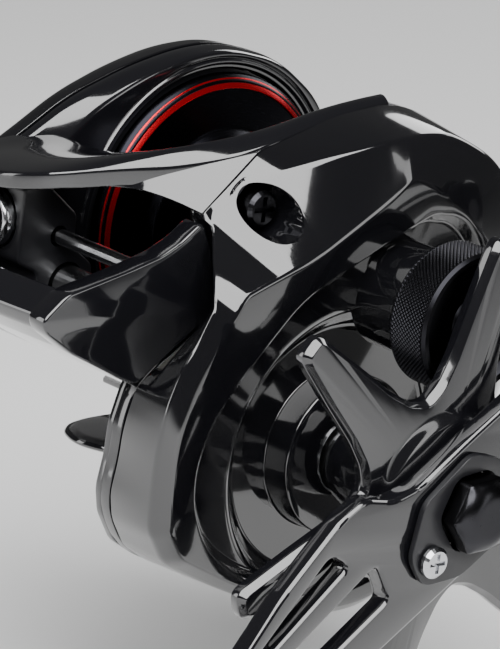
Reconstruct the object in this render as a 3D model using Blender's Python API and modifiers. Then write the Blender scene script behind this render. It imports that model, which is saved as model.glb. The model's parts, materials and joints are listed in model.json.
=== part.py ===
"""Low-profile baitcasting reel, built as separate pieces with running clearances.

Frame of the model: origin at the middle of the foot's flat underside, +Z up, +X towards the
handle, -Y towards the rod tip. Everything that turns with the spool or the handle turns about
an axis along X. Side outlines are given about the spool's axis in seventeenths of the spool's
radius, so they follow the spool when it grows; walls, gaps and shafts are plain lengths.
"""
import math

import bmesh
import bpy
from mathutils import Matrix, Vector

MM = 0.001
FIT_GAP = 0.3 * MM          # between pieces that rest on or lie beside each other
RUN_GAP = 0.3 * MM          # between a shaft and the hole it turns in

# Spool and the height of its axis
SPOOL_RADIUS = 17.0 * MM
SPOOL_WIDTH = 23.2 * MM
SPOOL_ARBOR_RADIUS = 10.0 * MM
SPOOL_RIM = 1.2 * MM
SPOOL_SHAFT_RADIUS = 1.2 * MM
FOOT_THICKNESS = 2.3 * MM
BASE_THICKNESS = 1.6 * MM
SPOOL_FLOOR_GAP = 0.3 * MM
SPOOL_BORE_GAP = 0.5 * MM   # flange to the bore of the palm-side wall

# Walls, counted outwards from the spool along X
SIDE_GAP = 0.3 * MM
GEAR_WALL = 1.0 * MM
TRAY_DEPTH = 1.3 * MM
PALM_WALL = 3.0 * MM
FLANGE_OVERLAP = 0.4 * MM   # how far the palm-side flange sits inside its wall
SHELL = 1.4 * MM
COVER_DEPTH = 9.3 * MM
PALM_COVER_DEPTH = 7.6 * MM
ACCESS_PLATE_THICKNESS = 0.7 * MM

# Gear train: teeth of each gear and the thickness of the two rows of gears
MAIN_TEETH = 63
PINION_TEETH = 10
DRIVE_TEETH = 24
IDLER_TEETH = 35
WORM_TEETH = 20
MAIN_GEAR_THICKNESS = 1.5 * MM
SMALL_GEAR_THICKNESS = 1.0 * MM
MAIN_SHAFT_RADIUS = 2.6 * MM
PINION_BORE_RADIUS = 1.5 * MM
YOKE_TRAVEL = 1.2 * MM

# Handle, star and knobs
HANDLE_REACH = 45.0 * MM
HANDLE_THICKNESS = 2.6 * MM
STAR_RADIUS = 29.0 * MM
STAR_ARMS = 6
STAR_THICKNESS = 2.1 * MM
KNOB_LENGTH = 22.0 * MM
KNOB_RADIUS = 8.5 * MM

# Cast control, line guide and thumb bar
CAP_RADIUS = 8.2 * MM
CAP_BOSS_RADIUS = 6.2 * MM
GUIDE_ROD_RADIUS = 0.9 * MM
WORM_RADIUS = 2.2 * MM
CARRIAGE_X = -6.0 * MM
CARRIAGE_HALF_WIDTH = 4.4 * MM
EYELET_RADIUS = 3.4 * MM
THUMB_TRAVEL = 2.5 * MM

# Stations along X that follow from the stack of walls and gaps
UNIT = SPOOL_RADIUS / 17.0
AXIS_Z = FOOT_THICKNESS + FIT_GAP + BASE_THICKNESS + SPOOL_FLOOR_GAP + SPOOL_RADIUS
HALF = SPOOL_WIDTH / 2.0
WALL_IN = HALF + SIDE_GAP
WALL_OUT = WALL_IN + GEAR_WALL
TRAY_OUT = WALL_OUT + TRAY_DEPTH
PALM_IN = -HALF + FLANGE_OVERLAP
PALM_OUT = PALM_IN - PALM_WALL
COVER_IN = TRAY_OUT + FIT_GAP
COVER_OUT = COVER_IN + COVER_DEPTH
COVER_CREASE = COVER_OUT - 2.0 * MM
PALM_COVER_IN = PALM_OUT - FIT_GAP
PALM_COVER_OUT = PALM_COVER_IN - PALM_COVER_DEPTH
SMALL_GEAR_IN = WALL_OUT + 0.25 * MM
CAM_IN = WALL_OUT + 0.2 * MM
CAM_THICKNESS = 0.6 * MM
YOKE_IN = CAM_IN + CAM_THICKNESS + 0.4 * MM
YOKE_THICKNESS = 1.0 * MM
MAIN_GEAR_IN = YOKE_IN + YOKE_THICKNESS + 0.4 * MM
MAIN_GEAR_OUT = MAIN_GEAR_IN + MAIN_GEAR_THICKNESS
DISH_FLOOR_IN = MAIN_GEAR_OUT + 0.25 * MM
DISH_FLOOR_OUT = DISH_FLOOR_IN + 1.0 * MM
POCKET_FLOOR = DISH_FLOOR_OUT + 3.4 * MM
BOSS_OUT = DISH_FLOOR_OUT + 3.8 * MM
CAP_IN = COVER_OUT + 5.1 * MM
CAP_OUT = CAP_IN + 5.7 * MM
CAP_BOSS_END = CAP_OUT - 2.6 * MM
STAR_HUB_IN = BOSS_OUT + 1.6 * MM
STAR_IN = CAP_OUT + 0.35 * MM
STAR_OUT = STAR_IN + STAR_THICKNESS
HANDLE_IN = STAR_OUT + 1.4 * MM
HANDLE_OUT = HANDLE_IN + HANDLE_THICKNESS
NUT_IN = HANDLE_OUT + FIT_GAP
NUT_OUT = NUT_IN + 4.0 * MM

# Places of the cross axes, as (y, z) about the spool's axis in outline units
SPOOL_AXIS = (0.0, 0.0)
MAIN_AXIS = (-4.7, -18.26)
WORM_AXIS = (-28.3, -2.9)
ROD_AXIS = (-30.0, 2.7)
EYELET_AXIS_Z = 4.3
HANDLE_ANGLE = math.radians(-143.6)
STAR_ANGLE = math.radians(79.0)
BODY_CENTRE = (-8.0, -9.0)
PALM_CENTRE = (-4.0, -2.0)
RING_STEPS = 48

# Pieces with so many cuts that the exact solver leaves cracks; these use the manifold solver
MANY_CUTS = {"main_frame", "gear_side_cover"}

# Side outlines, as (y, z) about the spool's axis in outline units
JAW_TOP = [(-5.0, 18.9), (-16.0, 16.2), (-26.0, 15.6), (-36.0, 14.9), (-40.1, 14.0),
           (-40.3, 12.9), (-33.0, 11.4), (-28.0, 10.2), (-24.0, 8.8)]
JAW_BOTTOM = [(-29.5, 5.5), (-34.0, 3.8), (-38.5, 2.6), (-42.4, 1.8), (-45.7, -0.8),
              (-45.0, -2.4), (-40.8, -5.1), (-33.3, -8.6)]
GEAR_BOX = [(-30.6, -9.8), (-31.8, -14.0), (-32.0, -18.0), (-32.6, -21.5), (-32.0, -24.5),
            (-29.8, -28.0), (-26.5, -30.0), (-21.0, -32.4), (-8.0, -37.4), (0.0, -37.2),
            (6.0, -34.8), (11.0, -30.0), (15.5, -22.0), (18.6, -12.5), (20.2, -4.0),
            (20.3, 2.0), (18.6, 8.6), (14.4, 14.0), (8.0, 18.0), (0.0, 19.7)]
COVER_PARTING = [(-6.0, 18.9), (-16.4, 16.0), (-23.9, 9.0), (-20.6, -2.4)] + GEAR_BOX
COVER_CREASE_OUTLINE = [(0.0, 18.7), (-10.0, 16.4), (-20.5, 11.6), (-26.0, 5.0), (-25.0, -1.4),
                        (-30.2, -8.4), (-31.8, -14.0), (-32.0, -19.0), (-31.8, -24.0),
                        (-29.6, -27.6), (-21.0, -31.8), (-8.0, -36.8), (0.0, -36.4),
                        (6.0, -33.6), (10.6, -28.6), (14.8, -20.6), (17.6, -12.0),
                        (18.7, -4.0), (18.6, 2.0), (16.8, 8.2), (13.2, 13.2), (7.0, 17.3)]
COVER_FACE_OUTLINE = [(-2.6, 13.2), (-14.0, 8.2), (-26.0, 2.6), (-25.6, -0.8), (-29.4, -6.4),
                      (-31.2, -13.0), (-31.3, -19.0), (-30.9, -23.4), (-28.4, -26.8),
                      (-20.5, -30.6), (-8.0, -35.2), (0.0, -34.6), (5.2, -31.6), (9.4, -26.8),
                      (12.8, -18.0), (13.6, -10.0), (13.4, -3.0), (12.6, 2.6), (9.4, 8.6),
                      (4.4, 12.4)]
PALM_OUTLINE = [(1.0, 19.9), (-5.0, 19.5), (-12.0, 17.8), (-20.0, 14.8), (-27.0, 10.4),
                (-36.0, 5.6), (-42.4, 1.8), (-45.2, -1.2), (-40.8, -5.3), (-30.0, -10.4),
                (-18.0, -15.6), (-6.0, -19.4), (4.0, -19.6), (12.0, -16.6), (18.2, -9.6),
                (20.6, -1.0), (19.6, 6.6), (15.6, 13.2), (9.0, 18.0)]
PALM_FACE_OUTLINE = [(1.0, 15.4), (-6.0, 14.6), (-14.0, 11.4), (-22.0, 6.0), (-29.0, 1.4),
                     (-33.0, -1.6), (-27.0, -6.0), (-17.0, -11.0), (-6.0, -14.6),
                     (3.0, -14.8), (9.6, -12.0), (14.2, -6.6), (15.6, 0.0), (14.6, 6.0),
                     (10.6, 11.6)]
REAR_BRIDGE = [(11.5, -18.5), (19.2, -12.4), (21.6, -7.6), (20.1, -6.9), (17.9, -11.4),
               (10.6, -17.7)]
FRONT_FLOOR = [(-42.4, 1.8), (-45.7, -0.8), (-45.0, -2.4), (-40.8, -5.1), (-30.0, -10.0),
               (-12.0, -18.5), (-11.4, -17.7), (-29.4, -8.3), (-39.6, -3.6), (-42.0, -0.9)]

ACCESS_PLATE = [(-24.6, 7.6), (-29.4, 4.9), (-34.2, 3.1), (-38.6, 1.9), (-42.2, 1.1),
                (-44.9, -1.0), (-44.3, -2.1), (-40.5, -4.5), (-33.4, -7.9), (-31.2, -9.0),
                (-21.4, -2.1)]


def at(place):
    """World (y, z) of a place given about the spool's axis in outline units."""
    return (place[0] * UNIT, place[1] * UNIT + AXIS_Z)


def distance(first, second):
    return math.dist(at(first), at(second))


def polar(centre, radius, angle):
    """World (y, z) of the point at a radius and an angle about a world centre."""
    return (centre[0] + radius * math.cos(angle), centre[1] + radius * math.sin(angle))


def clear_scene():
    for item in list(bpy.data.objects):
        bpy.data.objects.remove(item, do_unlink=True)


def new_collection(name):
    collection = bpy.data.collections.new(name)
    bpy.context.scene.collection.children.link(collection)
    return collection


def new_material(name, color, metallic, roughness):
    material = bpy.data.materials.new(name)
    material.use_nodes = True
    shader = material.node_tree.nodes["Principled BSDF"]
    shader.inputs["Base Color"].default_value = (*color, 1.0)
    shader.inputs["Metallic"].default_value = metallic
    shader.inputs["Roughness"].default_value = roughness
    material.diffuse_color = (*color, 1.0)
    return material


def add_object(name, mesh, collection):
    item = bpy.data.objects.new(name, mesh)
    collection.objects.link(item)
    return item


def mesh_from(builder):
    """A mesh filled by a bmesh builder, with doubles merged and faces pointing out."""
    mesh = bpy.data.meshes.new("mesh")
    work = bmesh.new()
    builder(work)
    bmesh.ops.remove_doubles(work, verts=work.verts, dist=1e-7)
    bmesh.ops.recalc_face_normals(work, faces=work.faces)
    work.to_mesh(mesh)
    work.free()
    return mesh


def prism(name, points, x_in, x_out, collection):
    """A flat (y, z) outline drawn as a filled curve and extruded along X, made a mesh."""
    curve = bpy.data.curves.new(name, "CURVE")
    curve.dimensions = "2D"
    curve.fill_mode = "BOTH"
    curve.extrude = abs(x_out - x_in) / 2.0
    spline = curve.splines.new("POLY")
    spline.points.add(len(points) - 1)
    for point, (y, z) in zip(spline.points, points):
        point.co = (y, z, 0.0, 1.0)
    spline.use_cyclic_u = True
    item = add_object(name, curve, collection)
    item.matrix_world = Matrix(((0, 0, 1, (x_in + x_out) / 2.0), (1, 0, 0, 0), (0, 1, 0, 0),
                                (0, 0, 0, 1)))
    return curve_to_mesh(item, collection)


def curve_to_mesh(item, collection):
    """The curve object's own mesh, in the world, with its loose caps welded."""
    bpy.context.view_layer.update()
    name = item.name
    depsgraph = bpy.context.evaluated_depsgraph_get()
    mesh = bpy.data.meshes.new_from_object(item.evaluated_get(depsgraph))
    mesh.transform(item.matrix_world)
    bpy.data.objects.remove(item, do_unlink=True)
    work = bmesh.new()
    work.from_mesh(mesh)
    bmesh.ops.remove_doubles(work, verts=work.verts, dist=1e-7)
    bmesh.ops.recalc_face_normals(work, faces=work.faces)
    work.to_mesh(mesh)
    work.free()
    return add_object(name, mesh, collection)


def outline_prism(name, outline, x_in, x_out, collection):
    return prism(name, [at(point) for point in outline], x_in, x_out, collection)


def turned(name, profile, centre, collection, steps=28):
    """A (x, radius) profile turned about the line along X through a world (y, z) centre."""
    closed = profile[0][1] > 0.0 or profile[-1][1] > 0.0

    def build(work):
        corners = [work.verts.new((radius, 0.0, x)) for x, radius in profile]
        for first, second in zip(corners, corners[1:]):
            work.edges.new((first, second))
        if closed:
            work.edges.new((corners[-1], corners[0]))

    mesh = bpy.data.meshes.new(name)
    work = bmesh.new()
    build(work)
    work.to_mesh(mesh)
    work.free()
    item = add_object(name, mesh, collection)
    item.matrix_world = Matrix(((0, 0, 1, 0), (1, 0, 0, centre[0]), (0, 1, 0, centre[1]),
                                (0, 0, 0, 1)))
    screw = item.modifiers.new("turn", "SCREW")
    screw.axis = "Z"
    screw.steps = steps
    screw.render_steps = steps
    screw.use_merge_vertices = True
    screw.merge_threshold = 1e-6
    return curve_to_mesh(item, collection)


def cylinder(name, centre, radius, x_in, x_out, collection, steps=20):
    profile = [(x_out, 0.0), (x_out, radius), (x_in, radius), (x_in, 0.0)]
    return turned(name, profile, centre, collection, steps)


def tube(name, centre, inner, outer, x_in, x_out, collection, steps=24):
    profile = [(x_in, inner), (x_out, inner), (x_out, outer), (x_in, outer)]
    return turned(name, profile, centre, collection, steps)


def box(name, low, high, collection):
    def build(work):
        centre = [(a + b) / 2.0 for a, b in zip(low, high)]
        size = [b - a for a, b in zip(low, high)]
        matrix = Matrix.Translation(Vector(centre)) @ Matrix.Diagonal((*size, 1.0))
        bmesh.ops.create_cube(work, size=1.0, matrix=matrix)

    return add_object(name, mesh_from(build), collection)


def rod_between(name, start, end, radius, collection, steps=20):
    """A round bar from one world point to another."""
    def build(work):
        along = Vector(end) - Vector(start)
        turn = along.to_track_quat("Z", "Y").to_matrix().to_4x4()
        matrix = Matrix.Translation((Vector(start) + Vector(end)) / 2.0) @ turn
        bmesh.ops.create_cone(work, cap_ends=True, segments=steps, radius1=radius,
                              radius2=radius, depth=along.length, matrix=matrix)

    return add_object(name, mesh_from(build), collection)


def ring_of(outline, centre, inset=0.0):
    """The outline's points at even angles about a centre, moved inwards by inset."""
    ring = []
    edges = list(zip(outline, outline[1:] + outline[:1]))
    for step in range(RING_STEPS):
        angle = 2.0 * math.pi * step / RING_STEPS
        ray = (math.cos(angle), math.sin(angle))
        reach = 0.0
        for (ay, az), (by, bz) in edges:
            ey, ez = by - ay, bz - az
            cross = ray[0] * ez - ray[1] * ey
            if abs(cross) < 1e-12:
                continue
            wy, wz = ay - centre[0], az - centre[1]
            along = (wy * ez - wz * ey) / cross
            share = (wy * ray[1] - wz * ray[0]) / cross
            if along > 0.0 and -1e-9 <= share <= 1.0 + 1e-9:
                reach = max(reach, along)
        ring.append(polar(at(centre), reach * UNIT - inset, angle))
    return ring


def loft(name, sections, collection):
    """A closed body through rings of (y, z) points at given x, with flat ends."""
    def build(work):
        rings = [[work.verts.new((x, y, z)) for y, z in ring] for x, ring in sections]
        for ring, other in zip(rings, rings[1:]):
            for step in range(len(ring)):
                after = (step + 1) % len(ring)
                work.faces.new((ring[step], ring[after], other[after]))
                work.faces.new((ring[step], other[after], other[step]))
        work.faces.new(rings[0])
        work.faces.new(rings[-1])

    return add_object(name, mesh_from(build), collection)


def boolean(item, other, operation="DIFFERENCE"):
    """Cut or join a piece with a helper shape, which stays in the helpers' collection."""
    modifier = item.modifiers.new(other.name, "BOOLEAN")
    modifier.operation = operation
    modifier.object = other
    modifier.solver = "MANIFOLD" if item.name in MANY_CUTS else "EXACT"
    other.hide_render = True
    other.display_type = "WIRE"


def gear_outline(teeth, module, centre, phase, backlash=0.12 * MM):
    """Straight-flanked teeth about a world centre; the first tooth points along phase."""
    pitch = module * teeth / 2.0
    pitch_angle = 2.0 * math.pi / teeth
    half_thickness = (math.pi * module / 4.0 - backlash) / pitch
    slope = 0.36 * module / pitch
    points = []
    for tooth in range(teeth):
        middle = phase + tooth * pitch_angle
        low, high = pitch - 1.05 * module, pitch + 0.8 * module
        points.append(polar(centre, low, middle - half_thickness - slope))
        points.append(polar(centre, high, middle - half_thickness + slope))
        points.append(polar(centre, high, middle + half_thickness - slope))
        points.append(polar(centre, low, middle + half_thickness + slope))
    return points


def mesh_phase(driver_teeth, driver_phase, teeth, line_angle):
    """Phase that puts a gap of the driven gear on the driver's tooth along the centre line."""
    offset = (line_angle - driver_phase) * driver_teeth / (2.0 * math.pi)
    return line_angle + math.pi - (2.0 * math.pi / teeth) * (0.5 - offset)


def angle_between(first, second):
    return math.atan2(second[1] - first[1], second[0] - first[0])


def idler_centre(drive, worm, drive_reach, worm_reach):
    """Centre at given distances from the drive gear and the worm gear, on the lower side."""
    span = math.dist(drive, worm)
    along = (drive_reach ** 2 - worm_reach ** 2 + span ** 2) / (2.0 * span)
    aside = math.sqrt(max(drive_reach ** 2 - along ** 2, 0.0))
    way = angle_between(drive, worm)
    foot = polar(drive, along, way)
    return polar(foot, aside, way + math.pi / 2.0)


class Train:
    """Centres, modules and phases of the two rows of gears."""

    main = at(MAIN_AXIS)
    spool = at(SPOOL_AXIS)
    worm = at(WORM_AXIS)
    main_module = 2.0 * distance(MAIN_AXIS, SPOOL_AXIS) / (MAIN_TEETH + PINION_TEETH)
    span = distance(MAIN_AXIS, WORM_AXIS)
    small_module = 1.012 * 2.0 * span / (DRIVE_TEETH + 2 * IDLER_TEETH + WORM_TEETH)
    drive_reach = small_module * (DRIVE_TEETH + IDLER_TEETH) / 2.0
    worm_reach = small_module * (WORM_TEETH + IDLER_TEETH) / 2.0
    idler = idler_centre(main, worm, drive_reach, worm_reach)
    main_phase = angle_between(main, spool)
    pinion_phase = mesh_phase(MAIN_TEETH, main_phase, PINION_TEETH, main_phase)
    drive_phase = angle_between(main, idler)
    idler_phase = mesh_phase(DRIVE_TEETH, drive_phase, IDLER_TEETH, drive_phase)
    worm_phase = mesh_phase(IDLER_TEETH, idler_phase, WORM_TEETH, angle_between(idler, worm))


def gear_tip(teeth, module):
    return module * (teeth / 2.0 + 0.8)


def dress(item, material, smooth_angle=32.0):
    item.data.materials.clear()
    item.data.materials.append(material)
    item.data.shade_smooth()
    item.data.set_sharp_from_angle(angle=math.radians(smooth_angle))
    return item


def make_main_frame(parts, tools, skins):
    """Two side walls joined by the front bar, the hood, the floor and the rear bridge."""
    right_outline = JAW_TOP + JAW_BOTTOM + GEAR_BOX
    frame = outline_prism("main_frame", right_outline, WALL_IN, TRAY_OUT, parts)
    palm_outline = JAW_TOP[:1] + PALM_OUTLINE[1:4]
    palm_wall = loft("frame_palm_wall", [(PALM_OUT, ring_of(PALM_OUTLINE, PALM_CENTRE)),
                                         (PALM_IN, ring_of(PALM_OUTLINE, PALM_CENTRE))], tools)
    join_reach = 0.4 * MM
    floor = outline_prism("frame_floor", FRONT_FLOOR, PALM_IN - join_reach,
                          WALL_IN + join_reach, tools)
    bridge = outline_prism("frame_bridge", REAR_BRIDGE, PALM_IN - join_reach,
                           WALL_IN + join_reach, tools)
    base_y = (at((-12.4, 0))[0], at((12.4, 0))[0])
    base = box("frame_base", (PALM_IN - join_reach, base_y[0], FOOT_THICKNESS + FIT_GAP),
               (WALL_IN + join_reach, base_y[1], FOOT_THICKNESS + FIT_GAP + BASE_THICKNESS),
               tools)
    for piece in (palm_wall, floor, bridge, base, make_hood(tools)):
        boolean(frame, piece, "UNION")
    cut_frame(frame, tools)
    return dress(frame, skins["painted_black"])


def make_hood(tools):
    """The front hood: a thin plate over the line guide that climbs towards the handle."""
    left = PALM_OUT
    right = TRAY_OUT
    rise = 0.19
    thickness = 2.0 * MM
    stations = 12
    front = [(left, -38.4 * UNIT), (right, -40.0 * UNIT)]
    rear = [(left, -21.0 * UNIT), (right, -24.5 * UNIT)]

    def build(work):
        top, bottom = [], []
        for step in range(stations + 1):
            share = step / stations
            x = left + share * (right - left)
            bow = 1.6 * MM * math.sin(math.pi * share)
            level = AXIS_Z + 11.9 * UNIT + rise * x
            front_y = front[0][1] + share * (front[1][1] - front[0][1]) - bow
            rear_y = rear[0][1] + share * (rear[1][1] - rear[0][1]) - bow
            for row, lift in ((top, thickness), (bottom, 0.0)):
                row.append((work.verts.new((x, front_y, level - 0.9 * MM + lift)),
                            work.verts.new((x, rear_y, level + 0.7 * MM + lift))))
        for row in (top, bottom):
            for first, second in zip(row, row[1:]):
                work.faces.new((first[0], second[0], second[1]))
                work.faces.new((first[0], second[1], first[1]))
        for side in (0, 1):
            for step in range(stations):
                work.faces.new((top[step][side], top[step + 1][side],
                                bottom[step + 1][side]))
                work.faces.new((top[step][side], bottom[step + 1][side],
                                bottom[step][side]))
        for end in (0, stations):
            work.faces.new((top[end][0], top[end][1], bottom[end][1], bottom[end][0]))

    return add_object("frame_hood", mesh_from(build), tools)


def cut_frame(frame, tools):
    """Everything that is cut out of the frame, with clearance to what sits there."""
    main, spool, worm = Train.main, Train.spool, Train.worm
    past = 0.5 * MM
    boolean(frame, cylinder("palm_bore", spool, SPOOL_RADIUS + SPOOL_BORE_GAP, PALM_OUT - past,
                            PALM_IN + past, tools, 48))
    pocket = ring_of(COVER_PARTING, BODY_CENTRE, SHELL)
    boolean(frame, loft("tray_pocket", [(WALL_OUT, pocket), (TRAY_OUT + past, pocket)], tools))
    for name, centre, teeth in (("worm_pocket", worm, WORM_TEETH),
                                ("idler_pocket", Train.idler, IDLER_TEETH)):
        radius = gear_tip(teeth, Train.small_module) + RUN_GAP
        boolean(frame, cylinder(name, centre, radius, WALL_OUT, TRAY_OUT + past, tools, 48))
    boolean(frame, cylinder("pinion_hole", spool, 5.0 * MM, WALL_IN - past, WALL_OUT + past,
                            tools))
    boolean(frame, cylinder("main_bearing_hole", main, MAIN_SHAFT_RADIUS + 2.0 * MM,
                            WALL_IN - past, WALL_OUT + past, tools))
    boolean(frame, cylinder("worm_bush_hole", worm, WORM_RADIUS + 1.0 * MM, WALL_IN - past,
                            WALL_OUT + past, tools))
    boolean(frame, cylinder("worm_bush_seat", worm, WORM_RADIUS + 1.0 * MM,
                            PALM_IN - 1.5 * MM, PALM_IN + past, tools))
    boolean(frame, cylinder("rod_hole", at(ROD_AXIS), GUIDE_ROD_RADIUS + FIT_GAP,
                            PALM_IN - 1.5 * MM, WALL_OUT + past, tools))
    for index, place in enumerate(POST_PLACES):
        boolean(frame, cylinder(f"post_hole_{index}", at(place), POST_RADIUS + FIT_GAP,
                                WALL_IN - past, WALL_OUT + past, tools, 24))
    boolean(frame, cylinder("idler_hole", Train.idler, IDLER_AXLE_RADIUS + FIT_GAP,
                            WALL_IN - past, WALL_OUT + past, tools, 24))
    low, high = at(TONGUE[0]), at(TONGUE[1])
    boolean(frame, box("tongue_slot", (WALL_IN - past, low[0] - FIT_GAP,
                                       low[1] - THUMB_TRAVEL - FIT_GAP),
                       (WALL_OUT + past, high[0] + FIT_GAP, high[1] + FIT_GAP), tools))
    for index, place in enumerate(FOOT_SCREW_PLACES):
        y = place * UNIT
        boolean(frame, rod_between(f"foot_hole_{index}", (0, y, -past), (0, y, 8.0 * MM),
                                   FOOT_SCREW_RADIUS + FIT_GAP, tools))


POST_PLACES = [(-7.6, 2.0), (7.6, 2.0)]
POST_RADIUS = 0.8 * MM
IDLER_AXLE_RADIUS = 1.2 * MM
FOOT_SCREW_PLACES = [-8.0, 8.0]
FOOT_SCREW_RADIUS = 1.2 * MM
FOOT_FRONT = -26.0 * MM
FOOT_REAR = 30.0 * MM
FOOT_HALF_WIDTH = 5.6 * MM


def make_foot(parts, tools, skins):
    """The blade that the rod's seat clamps: thin rounded ends and a thick middle pad."""
    end_radius = FOOT_HALF_WIDTH
    blade = 1.3 * MM
    arc_steps = 10
    plan = []
    for step in range(arc_steps + 1):
        angle = math.pi * step / arc_steps
        plan.append((end_radius * math.cos(angle),
                     FOOT_REAR - end_radius + end_radius * math.sin(angle)))
    for step in range(arc_steps + 1):
        angle = math.pi + math.pi * step / arc_steps
        plan.append((end_radius * math.cos(angle),
                     FOOT_FRONT + end_radius + end_radius * math.sin(angle)))

    def build(work):
        lower = [work.verts.new((x, y, 0.0)) for x, y in plan]
        upper = [work.verts.new((x * 0.92, y * 0.985, blade)) for x, y in plan]
        work.faces.new(lower)
        work.faces.new(upper)
        for step in range(len(plan)):
            after = (step + 1) % len(plan)
            work.faces.new((lower[step], lower[after], upper[after], upper[step]))

    foot = add_object("reel_foot", mesh_from(build), parts)
    pad = box("foot_pad", (-4.6 * MM, -12.0 * UNIT, 0.6 * MM),
              (4.6 * MM, 12.0 * UNIT, FOOT_THICKNESS), tools)
    boolean(foot, pad, "UNION")
    for index, place in enumerate(FOOT_SCREW_PLACES):
        y = place * UNIT
        boolean(foot, rod_between(f"foot_screw_hole_{index}", (0, y, -1.0 * MM),
                                  (0, y, 4.0 * MM), FOOT_SCREW_RADIUS + FIT_GAP, tools))
        boolean(foot, rod_between(f"foot_screw_sink_{index}", (0, y, -1.0 * MM),
                                  (0, y, 1.0 * MM), FOOT_SCREW_RADIUS + 1.0 * MM, tools))
    dress(foot, skins["painted_black"])
    for index, place in enumerate(FOOT_SCREW_PLACES):
        y = place * UNIT
        top = FOOT_THICKNESS + FIT_GAP + BASE_THICKNESS
        screw = rod_between(f"foot_screw_{index + 1}", (0, y, 0.2 * MM), (0, y, 0.8 * MM),
                            FOOT_SCREW_RADIUS + 0.7 * MM, parts)
        shank = rod_between(f"foot_screw_shank_{index}", (0, y, 0.5 * MM), (0, y, top),
                            FOOT_SCREW_RADIUS, tools)
        boolean(screw, shank, "UNION")
        dress(screw, skins["steel"])


def make_gear_cover(parts, tools, skins):
    """The handle-side shell: lofted skin, dish for the star, pocket and boss for the cap."""
    outer = [(COVER_IN, ring_of(COVER_PARTING, BODY_CENTRE)),
             (COVER_CREASE, ring_of(COVER_CREASE_OUTLINE, BODY_CENTRE)),
             (COVER_OUT, ring_of(COVER_FACE_OUTLINE, BODY_CENTRE))]
    inner = [(COVER_IN - 0.5 * MM, ring_of(COVER_PARTING, BODY_CENTRE, SHELL)),
             (COVER_CREASE - 0.6 * MM, ring_of(COVER_CREASE_OUTLINE, BODY_CENTRE, SHELL)),
             (COVER_OUT - SHELL, ring_of(COVER_FACE_OUTLINE, BODY_CENTRE, SHELL))]
    cover = loft("gear_side_cover", outer, parts)
    cavity = loft("cover_cavity", inner, tools)
    dish_radius = 14.0 * UNIT
    mouth_radius = 17.8 * UNIT
    boss_radius = CLUTCH_BEARING_RADIUS + 2.2 * MM
    top = COVER_OUT + 0.8 * MM
    wall = 1.1 * MM
    dish = turned("cover_dish", [(top, 0.0), (top, mouth_radius), (POCKET_FLOOR, dish_radius + 0.6 * MM),
                                 (DISH_FLOOR_OUT, dish_radius), (DISH_FLOOR_OUT, boss_radius),
                                 (BOSS_OUT, boss_radius), (BOSS_OUT, 0.0)],
                  Train.main, tools, 48)
    keep = turned("dish_keep", [(top, 0.0), (top, mouth_radius + wall),
                                (POCKET_FLOOR - wall, dish_radius + wall + 0.2 * MM),
                                (DISH_FLOOR_IN, dish_radius + wall),
                                (DISH_FLOOR_IN, 0.0)], Train.main, tools, 48)
    pocket = cylinder("cap_pocket", Train.spool, CAP_RADIUS + 2.4 * MM, POCKET_FLOOR, top, tools,
                      64)
    pocket_keep = cylinder("pocket_keep", Train.spool, CAP_RADIUS + 3.6 * MM,
                           POCKET_FLOOR - wall, top, tools, 48)
    boolean(cavity, keep)
    boolean(cavity, pocket_keep)
    boss = cylinder("cap_boss", Train.spool, CAP_BOSS_RADIUS, POCKET_FLOOR - wall + 0.2 * MM,
                    CAP_BOSS_END, tools, 32)
    boolean(cover, cavity)
    boolean(cover, dish)
    boolean(cover, pocket)
    boolean(cover, boss, "UNION")
    past = 0.5 * MM
    boolean(cover, cylinder("boss_bore", Train.spool, PINION_BEARING_RADIUS + 0.2 * MM,
                            POCKET_FLOOR + 0.6 * MM, CAP_OUT, tools))
    passage = gear_tip(PINION_TEETH, Train.main_module) + 0.4 * MM
    boolean(cover, cylinder("pinion_passage", Train.spool, passage,
                            POCKET_FLOOR - wall - past, POCKET_FLOOR + 1.2 * MM, tools))
    boolean(cover, cylinder("clutch_bearing_bore", Train.main, CLUTCH_BEARING_RADIUS + 0.2 * MM,
                            DISH_FLOOR_IN - past, BOSS_OUT - 0.7 * MM, tools, 48))
    boolean(cover, cylinder("sleeve_hole", Train.main, SLEEVE_RADIUS + RUN_GAP,
                            BOSS_OUT - 1.2 * MM, BOSS_OUT + past, tools, 48))
    cut_screw_recess(cover, tools)
    return dress(cover, skins["cover_black"])


CLUTCH_BEARING_RADIUS = 7.0 * MM
PINION_BEARING_RADIUS = 4.0 * MM
SLEEVE_RADIUS = 4.0 * MM
COVER_SCREW_PLACE = (-17.9, 9.9)
COVER_SCREW_RADIUS = 1.1 * MM
RECESS_RADIUS = 2.6 * MM


def cut_screw_recess(cover, tools):
    """The deep round recess at the cover's front corner and the hole through its floor."""
    centre = at(COVER_SCREW_PLACE)
    boolean(cover, cylinder("screw_recess", centre, RECESS_RADIUS, COVER_IN + 1.4 * MM,
                            COVER_OUT + 1.0 * MM, tools))
    boolean(cover, cylinder("screw_hole", centre, COVER_SCREW_RADIUS + FIT_GAP,
                            COVER_IN - 1.0 * MM, COVER_IN + 2.0 * MM, tools, 24))


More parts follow.
